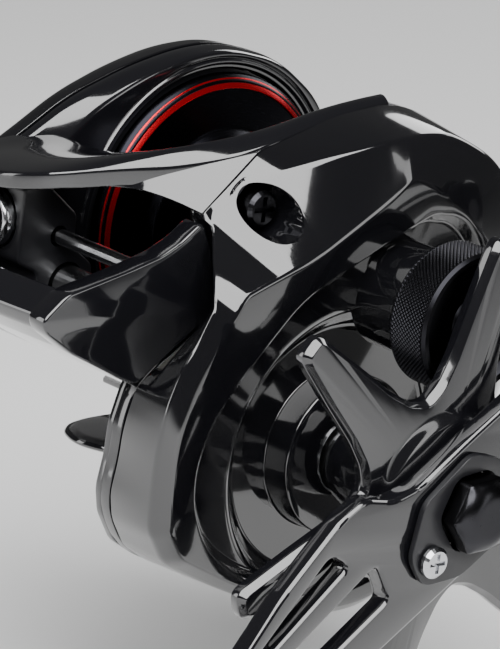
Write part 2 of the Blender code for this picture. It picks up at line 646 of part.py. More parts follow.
def make_cover_screw(parts, tools, skins):
    """Cap screw at the bottom of the recess, with a cross slot; its point ends in the frame."""
    centre = at(COVER_SCREW_PLACE)
    head_in = COVER_IN + 1.4 * MM + FIT_GAP
    head_out = head_in + 1.4 * MM
    head = RECESS_RADIUS - 0.5 * MM
    profile = [(head_out, 0.0), (head_out, head - 0.4 * MM), (head_out - 0.4 * MM, head),
               (head_in, head), (head_in, COVER_SCREW_RADIUS),
               (COVER_IN - FIT_GAP * 0.5, COVER_SCREW_RADIUS), (COVER_IN - FIT_GAP * 0.5, 0.0)]
    screw = turned("cover_screw", profile, centre, parts, 32)
    slot_half = 0.3 * MM
    for index, (wide, tall) in enumerate(((1.4 * MM, slot_half), (slot_half, 1.4 * MM))):
        boolean(screw, box(f"cross_slot_{index}",
                           (head_out - 0.6 * MM, centre[0] - wide, centre[1] - tall),
                           (head_out + 0.2 * MM, centre[0] + wide, centre[1] + tall), tools))
    dress(screw, skins["steel"])


def make_palm_cover(parts, tools, skins):
    """The palm-side shell that closes the spool bore, domed outwards and open inside."""
    middle_x = PALM_COVER_IN - 4.6 * MM
    outer = [(PALM_COVER_IN, ring_of(PALM_OUTLINE, PALM_CENTRE)),
             (middle_x, ring_of(PALM_OUTLINE, PALM_CENTRE, 0.9 * MM)),
             (PALM_COVER_OUT, ring_of(PALM_FACE_OUTLINE, PALM_CENTRE))]
    inner = [(PALM_COVER_IN + 0.5 * MM, ring_of(PALM_OUTLINE, PALM_CENTRE, SHELL)),
             (middle_x, ring_of(PALM_OUTLINE, PALM_CENTRE, SHELL + 0.9 * MM)),
             (PALM_COVER_OUT + SHELL, ring_of(PALM_FACE_OUTLINE, PALM_CENTRE, SHELL))]
    cover = loft("palm_side_cover", outer, parts)
    boolean(cover, loft("palm_cavity", inner, tools))
    hole = cylinder("dial_hole", Train.spool, DIAL_STEM_RADIUS + RUN_GAP,
                    PALM_COVER_OUT - 1.0 * MM, PALM_COVER_OUT + SHELL + 1.0 * MM, tools)
    boolean(cover, hole)
    return dress(cover, skins["cover_black"])


DIAL_RADIUS = 8.0 * MM
DIAL_STEM_RADIUS = 3.0 * MM
PLATE_THICKNESS = 1.4 * MM
END_BEARING_RADIUS = 4.0 * MM
MAGNET_INNER = 8.4 * MM
MAGNET_OUTER = 12.6 * MM
MAGNET_TRAVEL = 1.2 * MM


def make_brake_parts(parts, tools, skins):
    """Bearing plate in the spool bore, magnet ring behind it and the dial that moves it."""
    spool = Train.spool
    plate_out = -HALF - 0.7 * MM
    plate_in = plate_out - PLATE_THICKNESS
    boss_in = plate_in - 2.8 * MM
    boss = END_BEARING_RADIUS + 1.3 * MM
    bore = END_BEARING_RADIUS + FIT_GAP
    plate_radius = SPOOL_RADIUS + SPOOL_BORE_GAP - FIT_GAP
    plate = turned("bearing_plate",
                   [(plate_out, bore), (plate_out, plate_radius), (plate_in, plate_radius),
                    (plate_in, boss), (boss_in, boss), (boss_in, SPOOL_SHAFT_RADIUS + 0.6 * MM),
                    (boss_in + 0.8 * MM, SPOOL_SHAFT_RADIUS + 0.6 * MM),
                    (boss_in + 0.8 * MM, bore)],
                   spool, parts, 40)
    dress(plate, skins["satin_black"])
    bearing_in = boss_in + 0.8 * MM + FIT_GAP
    make_bearing("spool_end_bearing", spool, SPOOL_SHAFT_RADIUS + 0.15 * MM, END_BEARING_RADIUS,
                 bearing_in, bearing_in + 2.2 * MM, parts, skins)
    ring_out = plate_in - MAGNET_TRAVEL - 0.4 * MM
    ring_in = ring_out - 1.4 * MM
    ring = tube("brake_magnet_ring", spool, MAGNET_INNER, MAGNET_OUTER, ring_in, ring_out, parts,
                48)
    dress(ring, skins["steel"])
    dial_in = PALM_COVER_OUT - FIT_GAP
    dial_out = dial_in - 2.2 * MM
    stem_end = PALM_COVER_OUT + SHELL + 0.5 * MM
    dial = turned("brake_dial",
                  [(dial_out, 0.0), (dial_out, DIAL_RADIUS - 0.8 * MM),
                   (dial_out + 0.8 * MM, DIAL_RADIUS), (dial_in, DIAL_RADIUS),
                   (dial_in, DIAL_STEM_RADIUS), (stem_end, DIAL_STEM_RADIUS), (stem_end, 0.0)],
                  spool, parts, 32)
    dress(dial, skins["satin_black"])


def make_bearing(name, centre, inner, outer, x_in, x_out, parts, skins):
    """A shielded ball bearing as one ring with a shallow groove in its outer side."""
    middle = (inner + outer) / 2.0
    groove = 0.25 * (outer - inner)
    depth = 0.2 * MM
    profile = [(x_in, inner), (x_out, inner), (x_out, middle - groove),
               (x_out - depth, middle - groove), (x_out - depth, middle + groove),
               (x_out, middle + groove), (x_out, outer), (x_in, outer)]
    return dress(turned(name, profile, centre, parts, 24), skins["steel"])


def make_spool(parts, tools, skins):
    """The line spool, its shaft and the cross pin that the pinion drives."""
    centre = Train.spool
    rim_in = HALF - SPOOL_RIM
    neck = HALF - 3.2 * MM
    bore = SPOOL_SHAFT_RADIUS + 0.3 * MM
    hollow = SPOOL_ARBOR_RADIUS - 1.4 * MM
    profile = [(HALF, bore), (HALF, SPOOL_RADIUS), (rim_in, SPOOL_RADIUS),
               (neck, SPOOL_ARBOR_RADIUS), (-neck, SPOOL_ARBOR_RADIUS),
               (-rim_in, SPOOL_RADIUS), (-HALF, SPOOL_RADIUS), (-HALF, hollow),
               (-HALF + 6.0 * MM, hollow), (-HALF + 6.0 * MM, 3.4 * MM),
               (-HALF + 2.0 * MM, 3.4 * MM), (-HALF + 2.0 * MM, bore)]
    dress(turned("spool", profile, centre, parts, 32), skins["spool_black"])
    plate_in = -HALF - 0.7 * MM - PLATE_THICKNESS
    shaft_start = plate_in - 1.9 * MM
    shaft = cylinder("spool_shaft", centre, SPOOL_SHAFT_RADIUS, shaft_start,
                     CAP_BOSS_END - 0.65 * MM, parts, 24)
    pin_hole = rod_between("shaft_pin_hole", (PIN_X, centre[0], centre[1] - 2.0 * MM),
                           (PIN_X, centre[0], centre[1] + 2.0 * MM), PIN_RADIUS + 0.1 * MM,
                           tools, 16)
    boolean(shaft, pin_hole)
    dress(shaft, skins["steel"])
    pin = rod_between("spool_cross_pin", (PIN_X, centre[0], centre[1] - PIN_REACH),
                      (PIN_X, centre[0], centre[1] + PIN_REACH), PIN_RADIUS, parts, 16)
    dress(pin, skins["steel"])


PIN_RADIUS = 0.4 * MM
PIN_REACH = 2.2 * MM
PIN_X = CAM_IN + PIN_RADIUS
PINION_NECK = 2.0 * MM
PINION_COLLAR = 2.9 * MM
PINION_TEETH_OUT = POCKET_FLOOR - 0.9 * MM
PINION_OUT = POCKET_FLOOR + 3.0 * MM


def make_pinion(parts, tools, skins):
    """The sliding pinion: slotted collar, neck for the yoke, teeth and a bearing tail."""
    centre = Train.spool
    collar_out = YOKE_IN - 0.2 * MM
    teeth_in = YOKE_IN + YOKE_THICKNESS + 0.2 * MM
    tail = 2.2 * MM
    pinion = turned("pinion_gear",
                    [(CAM_IN, PINION_BORE_RADIUS), (PINION_OUT, PINION_BORE_RADIUS),
                     (PINION_OUT, tail), (PINION_TEETH_OUT - 0.2 * MM, tail),
                     (PINION_TEETH_OUT - 0.2 * MM, PINION_NECK), (collar_out, PINION_NECK),
                     (collar_out, PINION_COLLAR), (CAM_IN, PINION_COLLAR)],
                    centre, parts, 20)
    outline = gear_outline(PINION_TEETH, Train.main_module, centre, Train.pinion_phase)
    teeth = prism("pinion_teeth", outline, teeth_in, PINION_TEETH_OUT, tools)
    boolean(teeth, cylinder("pinion_bore", centre, PINION_BORE_RADIUS + 0.2 * MM,
                            teeth_in - 1.0 * MM, PINION_TEETH_OUT + 1.0 * MM, tools))
    boolean(pinion, teeth, "UNION")
    slot_half = PIN_RADIUS + 0.2 * MM
    boolean(pinion, box("pinion_slot",
                        (CAM_IN - 0.5 * MM, centre[0] - slot_half, centre[1] - 4.0 * MM),
                        (CAM_IN + 2.0 * PIN_RADIUS + 0.2 * MM, centre[0] + slot_half,
                         centre[1] + 4.0 * MM), tools))
    dress(pinion, skins["brass"])
    bearing_in = POCKET_FLOOR + 1.2 * MM
    make_bearing("pinion_bearing", centre, tail + 0.1 * MM, PINION_BEARING_RADIUS, bearing_in,
                 bearing_in + 2.2 * MM, parts, skins)


def make_clutch(parts, tools, skins):
    """Cam ring around the pinion, yoke bar in its neck, the posts and their springs."""
    centre = Train.spool
    cam = tube("clutch_cam", centre, PINION_COLLAR + 0.7 * MM, 6.3 * MM, CAM_IN,
               CAM_IN + CAM_THICKNESS, parts)
    tip = at((17.0, -3.6))
    lever = prism("cam_lever", [polar(centre, 5.6 * MM, math.radians(-32.0)),
                                polar(centre, 5.6 * MM, math.radians(-2.0)),
                                (tip[0], tip[1]), (tip[0], tip[1] - 1.4 * MM)],
                  CAM_IN + 0.05 * MM, CAM_IN + CAM_THICKNESS - 0.05 * MM, tools)
    boolean(cam, lever, "UNION")
    dress(cam, skins["steel"])
    half_length = 10.2 * UNIT
    bottom = centre[1] - 1.3 * UNIT
    top = centre[1] + 5.4 * UNIT
    yoke = box("clutch_yoke", (YOKE_IN, -half_length, bottom),
               (YOKE_IN + YOKE_THICKNESS, half_length, top), parts)
    notch = cylinder("yoke_notch", centre, PINION_NECK + 0.3 * MM, YOKE_IN - 1.0 * MM,
                     YOKE_IN + YOKE_THICKNESS + 1.0 * MM, tools)
    throat_half = PINION_NECK + 0.3 * MM
    throat = box("yoke_throat", (YOKE_IN - 1.0 * MM, -throat_half, centre[1] - 8.0 * MM),
                 (YOKE_IN + YOKE_THICKNESS + 1.0 * MM, throat_half, centre[1]), tools)
    boolean(yoke, notch)
    boolean(yoke, throat)
    for index, place in enumerate(POST_PLACES):
        boolean(yoke, cylinder(f"yoke_hole_{index}", at(place), POST_RADIUS + RUN_GAP,
                               YOKE_IN - 1.0 * MM, YOKE_IN + YOKE_THICKNESS + 1.0 * MM, tools,
                               24))
    dress(yoke, skins["satin_black"])
    post_out = POCKET_FLOOR - 1.6 * MM
    for index, place in enumerate(POST_PLACES):
        side = ("front", "rear")[index]
        profile = [(post_out, 0.0), (post_out, POST_RADIUS + 1.1 * MM),
                   (post_out - 0.5 * MM, POST_RADIUS + 1.1 * MM), (post_out - 0.5 * MM, POST_RADIUS),
                   (WALL_IN + 0.1 * MM, POST_RADIUS), (WALL_IN + 0.1 * MM, 0.0)]
        dress(turned(f"yoke_post_{side}", profile, at(place), parts, 24), skins["steel"])
        make_spring(f"yoke_spring_{side}", at(place), YOKE_IN + YOKE_THICKNESS + 0.35 * MM,
                    post_out - 0.85 * MM, parts, skins)


def make_spring(name, centre, x_in, x_out, parts, skins):
    """A coil spring along X: a helix of round wire on a poly line."""
    turns = 4
    points_a_turn = 8
    wire = 0.17 * MM
    radius = POST_RADIUS + 0.35 * MM + wire
    curve = bpy.data.curves.new(name, "CURVE")
    curve.dimensions = "3D"
    curve.bevel_depth = wire
    curve.bevel_resolution = 0
    curve.use_fill_caps = True
    spline = curve.splines.new("POLY")
    total = turns * points_a_turn
    spline.points.add(total)
    for step in range(total + 1):
        angle = 2.0 * math.pi * step / points_a_turn
        y, z = polar(centre, radius, angle)
        x = x_in + wire + (x_out - x_in - 2.0 * wire) * step / total
        spline.points[step].co = (x, y, z, 1.0)
    item = curve_to_mesh(add_object(name, curve, parts), parts)
    dress(item, skins["steel"])


def make_gear_train(parts, tools, skins):
    """Main shaft with its gears and drag stack, the idler and the worm's gear."""
    main = Train.main
    shaft = MAIN_SHAFT_RADIUS
    bore = shaft + FIT_GAP
    main_shaft = cylinder("main_shaft", main, shaft, WALL_IN, NUT_OUT - 1.6 * MM, parts, 32)
    dress(main_shaft, skins["steel"])
    make_bearing("main_shaft_bearing", main, bore, shaft + 1.7 * MM, WALL_IN, WALL_OUT, parts,
                 skins)
    rows = (("drive_gear", DRIVE_TEETH, main, Train.drive_phase, bore, "brass"),
            ("idler_gear", IDLER_TEETH, Train.idler, Train.idler_phase,
             IDLER_AXLE_RADIUS + RUN_GAP, "white_plastic"),
            ("worm_gear", WORM_TEETH, Train.worm, Train.worm_phase,
             WORM_JOURNAL + FIT_GAP, "white_plastic"))
    for name, teeth, centre, phase, hole, skin in rows:
        outline = gear_outline(teeth, Train.small_module, centre, phase)
        gear = prism(name, outline, SMALL_GEAR_IN, SMALL_GEAR_IN + SMALL_GEAR_THICKNESS, parts)
        boolean(gear, cylinder(f"{name}_bore", centre, hole, SMALL_GEAR_IN - 1.0 * MM,
                               SMALL_GEAR_IN + SMALL_GEAR_THICKNESS + 1.0 * MM, tools, 24))
        dress(gear, skins[skin])
    outline = gear_outline(MAIN_TEETH, Train.main_module, main, Train.main_phase)
    gear = prism("main_gear", outline, MAIN_GEAR_IN, MAIN_GEAR_OUT, parts)
    boolean(gear, cylinder("main_gear_bore", main, bore, MAIN_GEAR_IN - 1.0 * MM,
                           MAIN_GEAR_OUT + 1.0 * MM, tools))
    recess = tube("main_gear_recess", main, bore + 1.2 * MM, DRAG_RADIUS + 0.5 * MM,
                  MAIN_GEAR_IN + 0.5 * MM, MAIN_GEAR_OUT + 1.0 * MM, tools, 48)
    boolean(gear, recess)
    dress(gear, skins["brass"])
    washer_in = MAIN_GEAR_IN + 0.5 * MM + 0.1 * MM
    washer = tube("drag_washer", main, bore + 1.5 * MM, DRAG_RADIUS, washer_in,
                  washer_in + 0.4 * MM, parts, 32)
    dress(washer, skins["fibre"])
    key_in = washer_in + 0.4 * MM + 0.1 * MM
    key = tube("key_washer", main, bore + 1.5 * MM, DRAG_RADIUS, key_in, MAIN_GEAR_OUT, parts, 32)
    dress(key, skins["steel"])
    axle = turned("idler_axle",
                  [(TRAY_OUT + 0.2 * MM, 0.0), (TRAY_OUT + 0.2 * MM, IDLER_AXLE_RADIUS),
                   (WALL_IN, IDLER_AXLE_RADIUS), (WALL_IN, 0.0)], Train.idler, parts, 24)
    dress(axle, skins["steel"])
    bearing_in = DISH_FLOOR_IN + 0.1 * MM
    roller = tube("anti_reverse_bearing", main, SLEEVE_RADIUS + 0.2 * MM, CLUTCH_BEARING_RADIUS,
                  bearing_in, BOSS_OUT - 1.0 * MM, parts, 32)
    dress(roller, skins["steel"])
    sleeve = tube("clutch_sleeve", main, bore, SLEEVE_RADIUS, bearing_in, BOSS_OUT + 0.8 * MM,
                  parts, 48)
    dress(sleeve, skins["steel"])


DRAG_RADIUS = 12.0 * MM
WORM_JOURNAL = 1.3 * MM


def make_line_guide(parts, tools, skins):
    """Worm shaft and guide rod across the frame, and the carriage that rides on them."""
    worm, rod = Train.worm, at(ROD_AXIS)
    bush_radius = WORM_RADIUS + 1.0 * MM - FIT_GAP
    bush_out = PALM_IN - 1.2 * MM
    inner_end = PALM_IN + 0.3 * MM
    outer_end = WALL_IN - 0.3 * MM
    shaft = turned("worm_shaft",
                   [(SMALL_GEAR_IN + SMALL_GEAR_THICKNESS, 0.0),
                    (SMALL_GEAR_IN + SMALL_GEAR_THICKNESS, WORM_JOURNAL),
                    (outer_end, WORM_JOURNAL), (outer_end, WORM_RADIUS),
                    (inner_end, WORM_RADIUS), (inner_end, WORM_JOURNAL),
                    (bush_out, WORM_JOURNAL), (bush_out, 0.0)], worm, parts, 32)
    dress(shaft, skins["steel"])
    tube_bush = tube("worm_bush_palm", worm, WORM_JOURNAL + RUN_GAP, bush_radius, bush_out,
                     PALM_IN, parts, 24)
    dress(tube_bush, skins["brass"])
    gear_bush = tube("worm_bush_gear", worm, WORM_JOURNAL + RUN_GAP, bush_radius, WALL_IN,
                     WALL_OUT, parts, 24)
    dress(gear_bush, skins["brass"])
    plate = outline_prism("gear_access_plate", ACCESS_PLATE, COVER_IN,
                          COVER_IN + ACCESS_PLATE_THICKNESS, parts)
    dress(plate, skins["cover_black"])
    guide_rod = cylinder("guide_rod", rod, GUIDE_ROD_RADIUS, PALM_IN - 1.2 * MM,
                         WALL_OUT - 0.1 * MM, parts, 24)
    dress(guide_rod, skins["steel"])
    make_carriage(parts, tools, skins)


def make_carriage(parts, tools, skins):
    """Carriage body around the worm and the rod, the ceramic ring in its front, the pawl."""
    worm, rod = Train.worm, at(ROD_AXIS)
    eyelet = at((-34.6, EYELET_AXIS_Z))
    x_in = CARRIAGE_X - CARRIAGE_HALF_WIDTH
    x_out = CARRIAGE_X + CARRIAGE_HALF_WIDTH
    side = [(-35.6, 8.6), (-35.6, 0.0), (-32.6, -1.4), (-32.2, -4.6), (-30.2, -6.4),
            (-26.4, -6.4), (-24.6, -4.6), (-24.6, -1.0), (-27.6, 1.2), (-27.6, 5.0),
            (-32.0, 8.6)]
    body = outline_prism("line_guide_carriage", side, x_in, x_out, parts)
    boolean(body, cylinder("carriage_worm_bore", worm, WORM_RADIUS + RUN_GAP, x_in - 1.0 * MM,
                           x_out + 1.0 * MM, tools))
    boolean(body, cylinder("carriage_rod_bore", rod, GUIDE_ROD_RADIUS + RUN_GAP,
                           x_in - 1.0 * MM, x_out + 1.0 * MM, tools, 24))
    seat = rod_between("eyelet_seat", (CARRIAGE_X, -42.0 * UNIT, eyelet[1]),
                       (CARRIAGE_X, -20.0 * UNIT, eyelet[1]), EYELET_RADIUS - 0.9 * MM, tools,
                       32)
    boolean(body, seat)
    recess = rod_between("eyelet_recess", (CARRIAGE_X, -42.0 * UNIT, eyelet[1]),
                         (CARRIAGE_X, -34.2 * UNIT, eyelet[1]), EYELET_RADIUS + FIT_GAP, tools,
                         32)
    boolean(body, recess)
    pawl_x = CARRIAGE_X
    boolean(body, rod_between("pawl_bore", (pawl_x, worm[0], worm[1] - 8.0 * MM),
                              (pawl_x, worm[0], worm[1]), PAWL_RADIUS + FIT_GAP, tools, 24))
    dress(body, skins["satin_black"])
    ring = eyelet_ring("eyelet_ring", (CARRIAGE_X, -37.2 * UNIT, eyelet[1]), EYELET_RADIUS - 0.8 * MM,
                       EYELET_RADIUS, 37.2 * UNIT - 34.2 * UNIT - FIT_GAP, parts)
    dress(ring, skins["ceramic"])
    bottom = at((0.0, -6.4))[1]
    pawl = rod_between("pawl", (pawl_x, worm[0], bottom - 0.4 * MM),
                       (pawl_x, worm[0], worm[1] - WORM_RADIUS - 0.15 * MM), PAWL_RADIUS,
                       parts, 24)
    dress(pawl, skins["brass"])
    cap = rod_between("pawl_cap", (pawl_x, worm[0], bottom - 1.3 * MM),
                      (pawl_x, worm[0], bottom - 0.7 * MM), PAWL_RADIUS + 0.5 * MM, parts, 24)
    dress(cap, skins["satin_black"])


PAWL_RADIUS = 1.2 * MM


def eyelet_ring(name, start, inner, outer, length, parts):
    """A round-lipped ring whose axis lies along Y, from its front face backwards."""
    profile = [(0.0, inner + 0.35 * MM), (0.35 * MM, inner), (length, inner), (length, outer),
               (0.5 * MM, outer), (0.0, outer - 0.4 * MM)]
    mesh = bpy.data.meshes.new(name)
    work = bmesh.new()
    corners = [work.verts.new((radius, 0.0, along)) for along, radius in profile]
    for first, second in zip(corners, corners[1:] + corners[:1]):
        work.edges.new((first, second))
    work.to_mesh(mesh)
    work.free()
    item = add_object(name, mesh, parts)
    item.matrix_world = Matrix(((1, 0, 0, start[0]), (0, 0, 1, start[1]), (0, -1, 0, start[2]),
                                (0, 0, 0, 1)))
    screw = item.modifiers.new("turn", "SCREW")
    screw.axis = "Z"
    screw.steps = 32
    screw.render_steps = 32
    screw.use_merge_vertices = True
    screw.merge_threshold = 1e-6
    return curve_to_mesh(item, parts)


def make_cast_control(parts, tools, skins):
    """Knurled cap over the threaded boss, with the friction shim and cap bearing inside."""
    centre = Train.spool
    boss_end = CAP_BOSS_END
    inner = CAP_BOSS_RADIUS + FIT_GAP
    face = CAP_OUT - 0.8 * MM
    floor = boss_end + 0.9 * MM
    profile = [(face, 0.0), (face, 5.4 * MM), (CAP_OUT, 6.0 * MM), (CAP_OUT, CAP_RADIUS - 0.3 * MM),
               (CAP_OUT - 0.3 * MM, CAP_RADIUS), (CAP_IN + 0.3 * MM, CAP_RADIUS),
               (CAP_IN, CAP_RADIUS - 0.3 * MM), (CAP_IN, inner), (floor, inner), (floor, 0.0)]
    cap = turned("cast_control_cap", profile, centre, parts, 32)
    dress(cap, skins["satin_black"])
    shim = cylinder("cast_control_shim", centre, PINION_BEARING_RADIUS - 0.3 * MM,
                    boss_end - 0.45 * MM, boss_end - 0.15 * MM, parts, 24)
    dress(shim, skins["brass"])
    bearing_out = boss_end - 0.8 * MM
    make_bearing("cap_bearing", centre, SPOOL_SHAFT_RADIUS + 0.15 * MM,
                 PINION_BEARING_RADIUS - 0.1 * MM, bearing_out - 2.2 * MM, bearing_out, parts,
                 skins)


def make_star(parts, tools, skins):
    """Star drag: six tapered arms on a stepped hub."""
    centre = Train.main
    step = 2.0 * math.pi / STAR_ARMS
    outline = []
    for arm in range(STAR_ARMS):
        middle = STAR_ANGLE + arm * step
        for radius, turn in ((10.6 * MM, -30.0), (11.2 * MM, -21.0), (13.4 * MM, -11.5),
                             (STAR_RADIUS - 0.8 * MM, -2.4), (STAR_RADIUS, -1.2),
                             (STAR_RADIUS, 1.2), (STAR_RADIUS - 0.8 * MM, 2.4),
                             (13.4 * MM, 11.5), (11.2 * MM, 21.0)):
            outline.append(polar(centre, radius, middle + math.radians(turn)))
    star = prism("star_drag", outline, STAR_IN, STAR_OUT, parts)
    hole = MAIN_SHAFT_RADIUS + FIT_GAP
    hub = turned("star_hub", [(STAR_OUT + 1.0 * MM, 0.0), (STAR_OUT + 1.0 * MM, 5.6 * MM),
                              (STAR_OUT + 0.6 * MM, 8.6 * MM), (STAR_OUT - 0.4 * MM, 9.4 * MM),
                              (STAR_IN + 0.4 * MM, 9.4 * MM), (STAR_IN - 0.6 * MM, 8.0 * MM),
                              (STAR_IN - 2.6 * MM, 5.4 * MM), (STAR_HUB_IN, 5.4 * MM),
                              (STAR_HUB_IN, 0.0)], centre, tools, 32)
    boolean(star, hub, "UNION")
    boolean(star, cylinder("star_bore", centre, hole, STAR_HUB_IN - 1.0 * MM,
                           STAR_OUT + 3.0 * MM, tools))
    dress(star, skins["painted_black"])


def handle_point(along, aside):
    """World (y, z) of a place on the handle: along its length and across it from the shaft."""
    centre = Train.main
    turn = HANDLE_ANGLE
    return (centre[0] + along * math.cos(turn) - aside * math.sin(turn),
            centre[1] + along * math.sin(turn) + aside * math.cos(turn))


def handle_arm_outline():
    """One half of the two-fold handle, from its waist out round the knob end and back."""
    reach = HANDLE_REACH
    tip = 5.2 * MM
    steps = 10
    points = [(4.0 * MM, -6.8 * MM), (reach - 6.0 * MM, -tip)]
    for step in range(1, steps):
        angle = -math.pi / 2.0 + math.pi * step / steps
        points.append((reach + tip * math.cos(angle), tip * math.sin(angle)))
    points += [(reach - 6.0 * MM, tip), (reach * 0.55, 9.6 * MM), (14.5 * MM, 11.5 * MM),
               (10.6 * MM, 11.2 * MM), (7.6 * MM, 8.2 * MM), (4.0 * MM, 7.0 * MM)]
    return points


def make_handle(parts, tools, skins):
    """The cranked double handle: hub, two windowed arms and an eye at each end."""
    half = handle_arm_outline()
    outline = [handle_point(along, -aside) for along, aside in half]
    outline += [handle_point(-along, aside) for along, aside in half]
    arm = prism("handle_arm", outline, HANDLE_IN, HANDLE_OUT, parts)
    past = 0.6 * MM
    windows = ([(13.4 * MM, -1.6 * MM), (36.0 * MM, -1.6 * MM), (37.0 * MM, 0.6 * MM),
                (34.0 * MM, 2.4 * MM), (13.0 * MM, 3.2 * MM)],
               [(16.0 * MM, 6.0 * MM), (33.0 * MM, 4.6 * MM), (31.0 * MM, 5.8 * MM),
                (17.4 * MM, 8.8 * MM)])
    for side in (1.0, -1.0):
        for index, window in enumerate(windows):
            corners = [handle_point(side * along, -side * aside) for along, aside in window]
            boolean(arm, prism(f"handle_window_{index}_{side:+.0f}", corners, HANDLE_IN - past,
                               HANDLE_OUT + past, tools))
        eye = handle_point(side * HANDLE_REACH, 0.0)
        boolean(arm, cylinder(f"handle_eye_{side:+.0f}", eye, KNOB_SHAFT_RADIUS + FIT_GAP,
                              HANDLE_IN - past, HANDLE_OUT + past, tools, 24))
    hole = MAIN_SHAFT_RADIUS + FIT_GAP
    boolean(arm, cylinder("handle_bore", Train.main, hole, HANDLE_IN - past, HANDLE_OUT + past,
                          tools))
    boolean(arm, cylinder("retainer_screw_hole", handle_point(*RETAINER_SCREW),
                          RETAINER_SCREW_RADIUS + FIT_GAP, HANDLE_IN - past,
                          HANDLE_OUT + past, tools, 24))
    dress(arm, skins["painted_black"])
    make_nut(parts, tools, skins)
    for side in (1.0, -1.0):
        make_handle_knob(side, parts, tools, skins)


KNOB_SHAFT_RADIUS = 1.8 * MM
RETAINER_SCREW = (7.4 * MM, 0.8 * MM)
RETAINER_SCREW_RADIUS = 0.9 * MM
RETAINER_THICKNESS = 0.8 * MM
NUT_FLATS = 4.0 * MM


def hexagon(radius_flats, turn=0.0):
    radius = radius_flats / math.cos(math.pi / 6.0)
    return [polar(Train.main, radius, turn + HANDLE_ANGLE + math.radians(30.0 + 60.0 * step))
            for step in range(6)]


def make_nut(parts, tools, skins):
    """Domed hex nut on the shaft's end, its retainer plate and the retainer's screw."""
    nut = prism("handle_nut", hexagon(NUT_FLATS), NUT_IN, NUT_OUT - 0.6 * MM, parts)
    dome = turned("nut_dome", [(NUT_OUT, 0.0), (NUT_OUT, 2.6 * MM),
                               (NUT_OUT - 0.7 * MM, NUT_FLATS - 0.2 * MM),
                               (NUT_OUT - 1.2 * MM, NUT_FLATS - 0.2 * MM),
                               (NUT_OUT - 1.2 * MM, 0.0)], Train.main, tools, 48)
    boolean(nut, dome, "UNION")
    boolean(nut, cylinder("nut_bore", Train.main, MAIN_SHAFT_RADIUS + FIT_GAP, NUT_IN - 1.0 * MM,
                          NUT_OUT - 1.2 * MM, tools))
    dress(nut, skins["steel"])
    reach = 9.6 * MM
    shape = [handle_point(along, aside) for along, aside in
             ((reach, -1.2 * MM), (reach, 2.8 * MM), (5.0 * MM, 5.6 * MM), (-3.0 * MM, 6.0 * MM),
              (-6.0 * MM, 2.6 * MM), (-6.0 * MM, -2.6 * MM), (-3.0 * MM, -6.0 * MM),
              (5.0 * MM, -5.6 * MM))]
    plate = prism("nut_retainer", shape, NUT_IN, NUT_IN + RETAINER_THICKNESS, parts)
    boolean(plate, prism("retainer_hex", hexagon(NUT_FLATS + FIT_GAP), NUT_IN - 1.0 * MM,
                         NUT_IN + RETAINER_THICKNESS + 1.0 * MM, tools))
    screw_at = handle_point(*RETAINER_SCREW)
    boolean(plate, cylinder("retainer_plate_hole", screw_at, RETAINER_SCREW_RADIUS + FIT_GAP,
                            NUT_IN - 1.0 * MM, NUT_IN + RETAINER_THICKNESS + 1.0 * MM, tools,
                            24))
    dress(plate, skins["satin_black"])
    head_in = NUT_IN + RETAINER_THICKNESS + FIT_GAP
    screw = turned("retainer_screw",
                   [(head_in + 0.8 * MM, 0.0), (head_in + 0.8 * MM, 1.4 * MM),
                    (head_in + 0.4 * MM, 1.8 * MM), (head_in, 1.8 * MM),
                    (head_in, RETAINER_SCREW_RADIUS), (HANDLE_IN + 0.3 * MM, RETAINER_SCREW_RADIUS),
                    (HANDLE_IN + 0.3 * MM, 0.0)], screw_at, parts, 24)
    for index, (wide, tall) in enumerate(((1.1 * MM, 0.25 * MM), (0.25 * MM, 1.1 * MM))):
        boolean(screw, box(f"retainer_slot_{index}",
                           (head_in + 0.4 * MM, screw_at[0] - wide, screw_at[1] - tall),
                           (head_in + 1.2 * MM, screw_at[0] + wide, screw_at[1] + tall), tools))
    dress(screw, skins["steel"])


def make_handle_knob(side, parts, tools, skins):
    """One knob: a shouldered spindle riveted in the handle's eye, the grip and its end cap."""
    name = "front" if side > 0 else "rear"
    centre = handle_point(side * HANDLE_REACH, 0.0)
    start = HANDLE_OUT + 1.2 * MM
    end = start + KNOB_LENGTH
    bore = KNOB_SHAFT_RADIUS + RUN_GAP
    spindle = turned(f"knob_spindle_{name}",
                     [(end - 1.6 * MM, 0.0), (end - 1.6 * MM, KNOB_SHAFT_RADIUS),
                      (HANDLE_OUT + 0.9 * MM, KNOB_SHAFT_RADIUS),
                      (HANDLE_OUT + 0.9 * MM, KNOB_SHAFT_RADIUS + 1.0 * MM),
                      (HANDLE_OUT + FIT_GAP, KNOB_SHAFT_RADIUS + 1.0 * MM),
                      (HANDLE_OUT + FIT_GAP, KNOB_SHAFT_RADIUS),
                      (HANDLE_IN - 0.4 * MM, KNOB_SHAFT_RADIUS), (HANDLE_IN - 0.4 * MM, 0.0)],
                     centre, parts, 24)
    dress(spindle, skins["steel"])
    waist = 0.62 * KNOB_RADIUS
    grip = turned(f"knob_grip_{name}",
                  [(end, 3.6 * MM), (end, KNOB_RADIUS - 1.6 * MM),
                   (end - 1.8 * MM, KNOB_RADIUS), (end - 0.32 * KNOB_LENGTH, KNOB_RADIUS),
                   (start + 0.38 * KNOB_LENGTH, waist), (start + 0.12 * KNOB_LENGTH, waist),
                   (start, waist + 0.8 * MM), (start, bore), (end - 2.6 * MM, bore),
                   (end - 1.2 * MM, 3.6 * MM)], centre, parts, 24)
    dress(grip, skins["rubber"])
    cap = cylinder(f"knob_cap_{name}", centre, 3.6 * MM - FIT_GAP, end - 0.9 * MM,
                   end + 0.5 * MM, parts, 32)
    dress(cap, skins["red_anodised"])


TONGUE = ((17.3, -3.2), (17.9, -1.8))   # (y, z) corners of the bar's tongue in the clutch


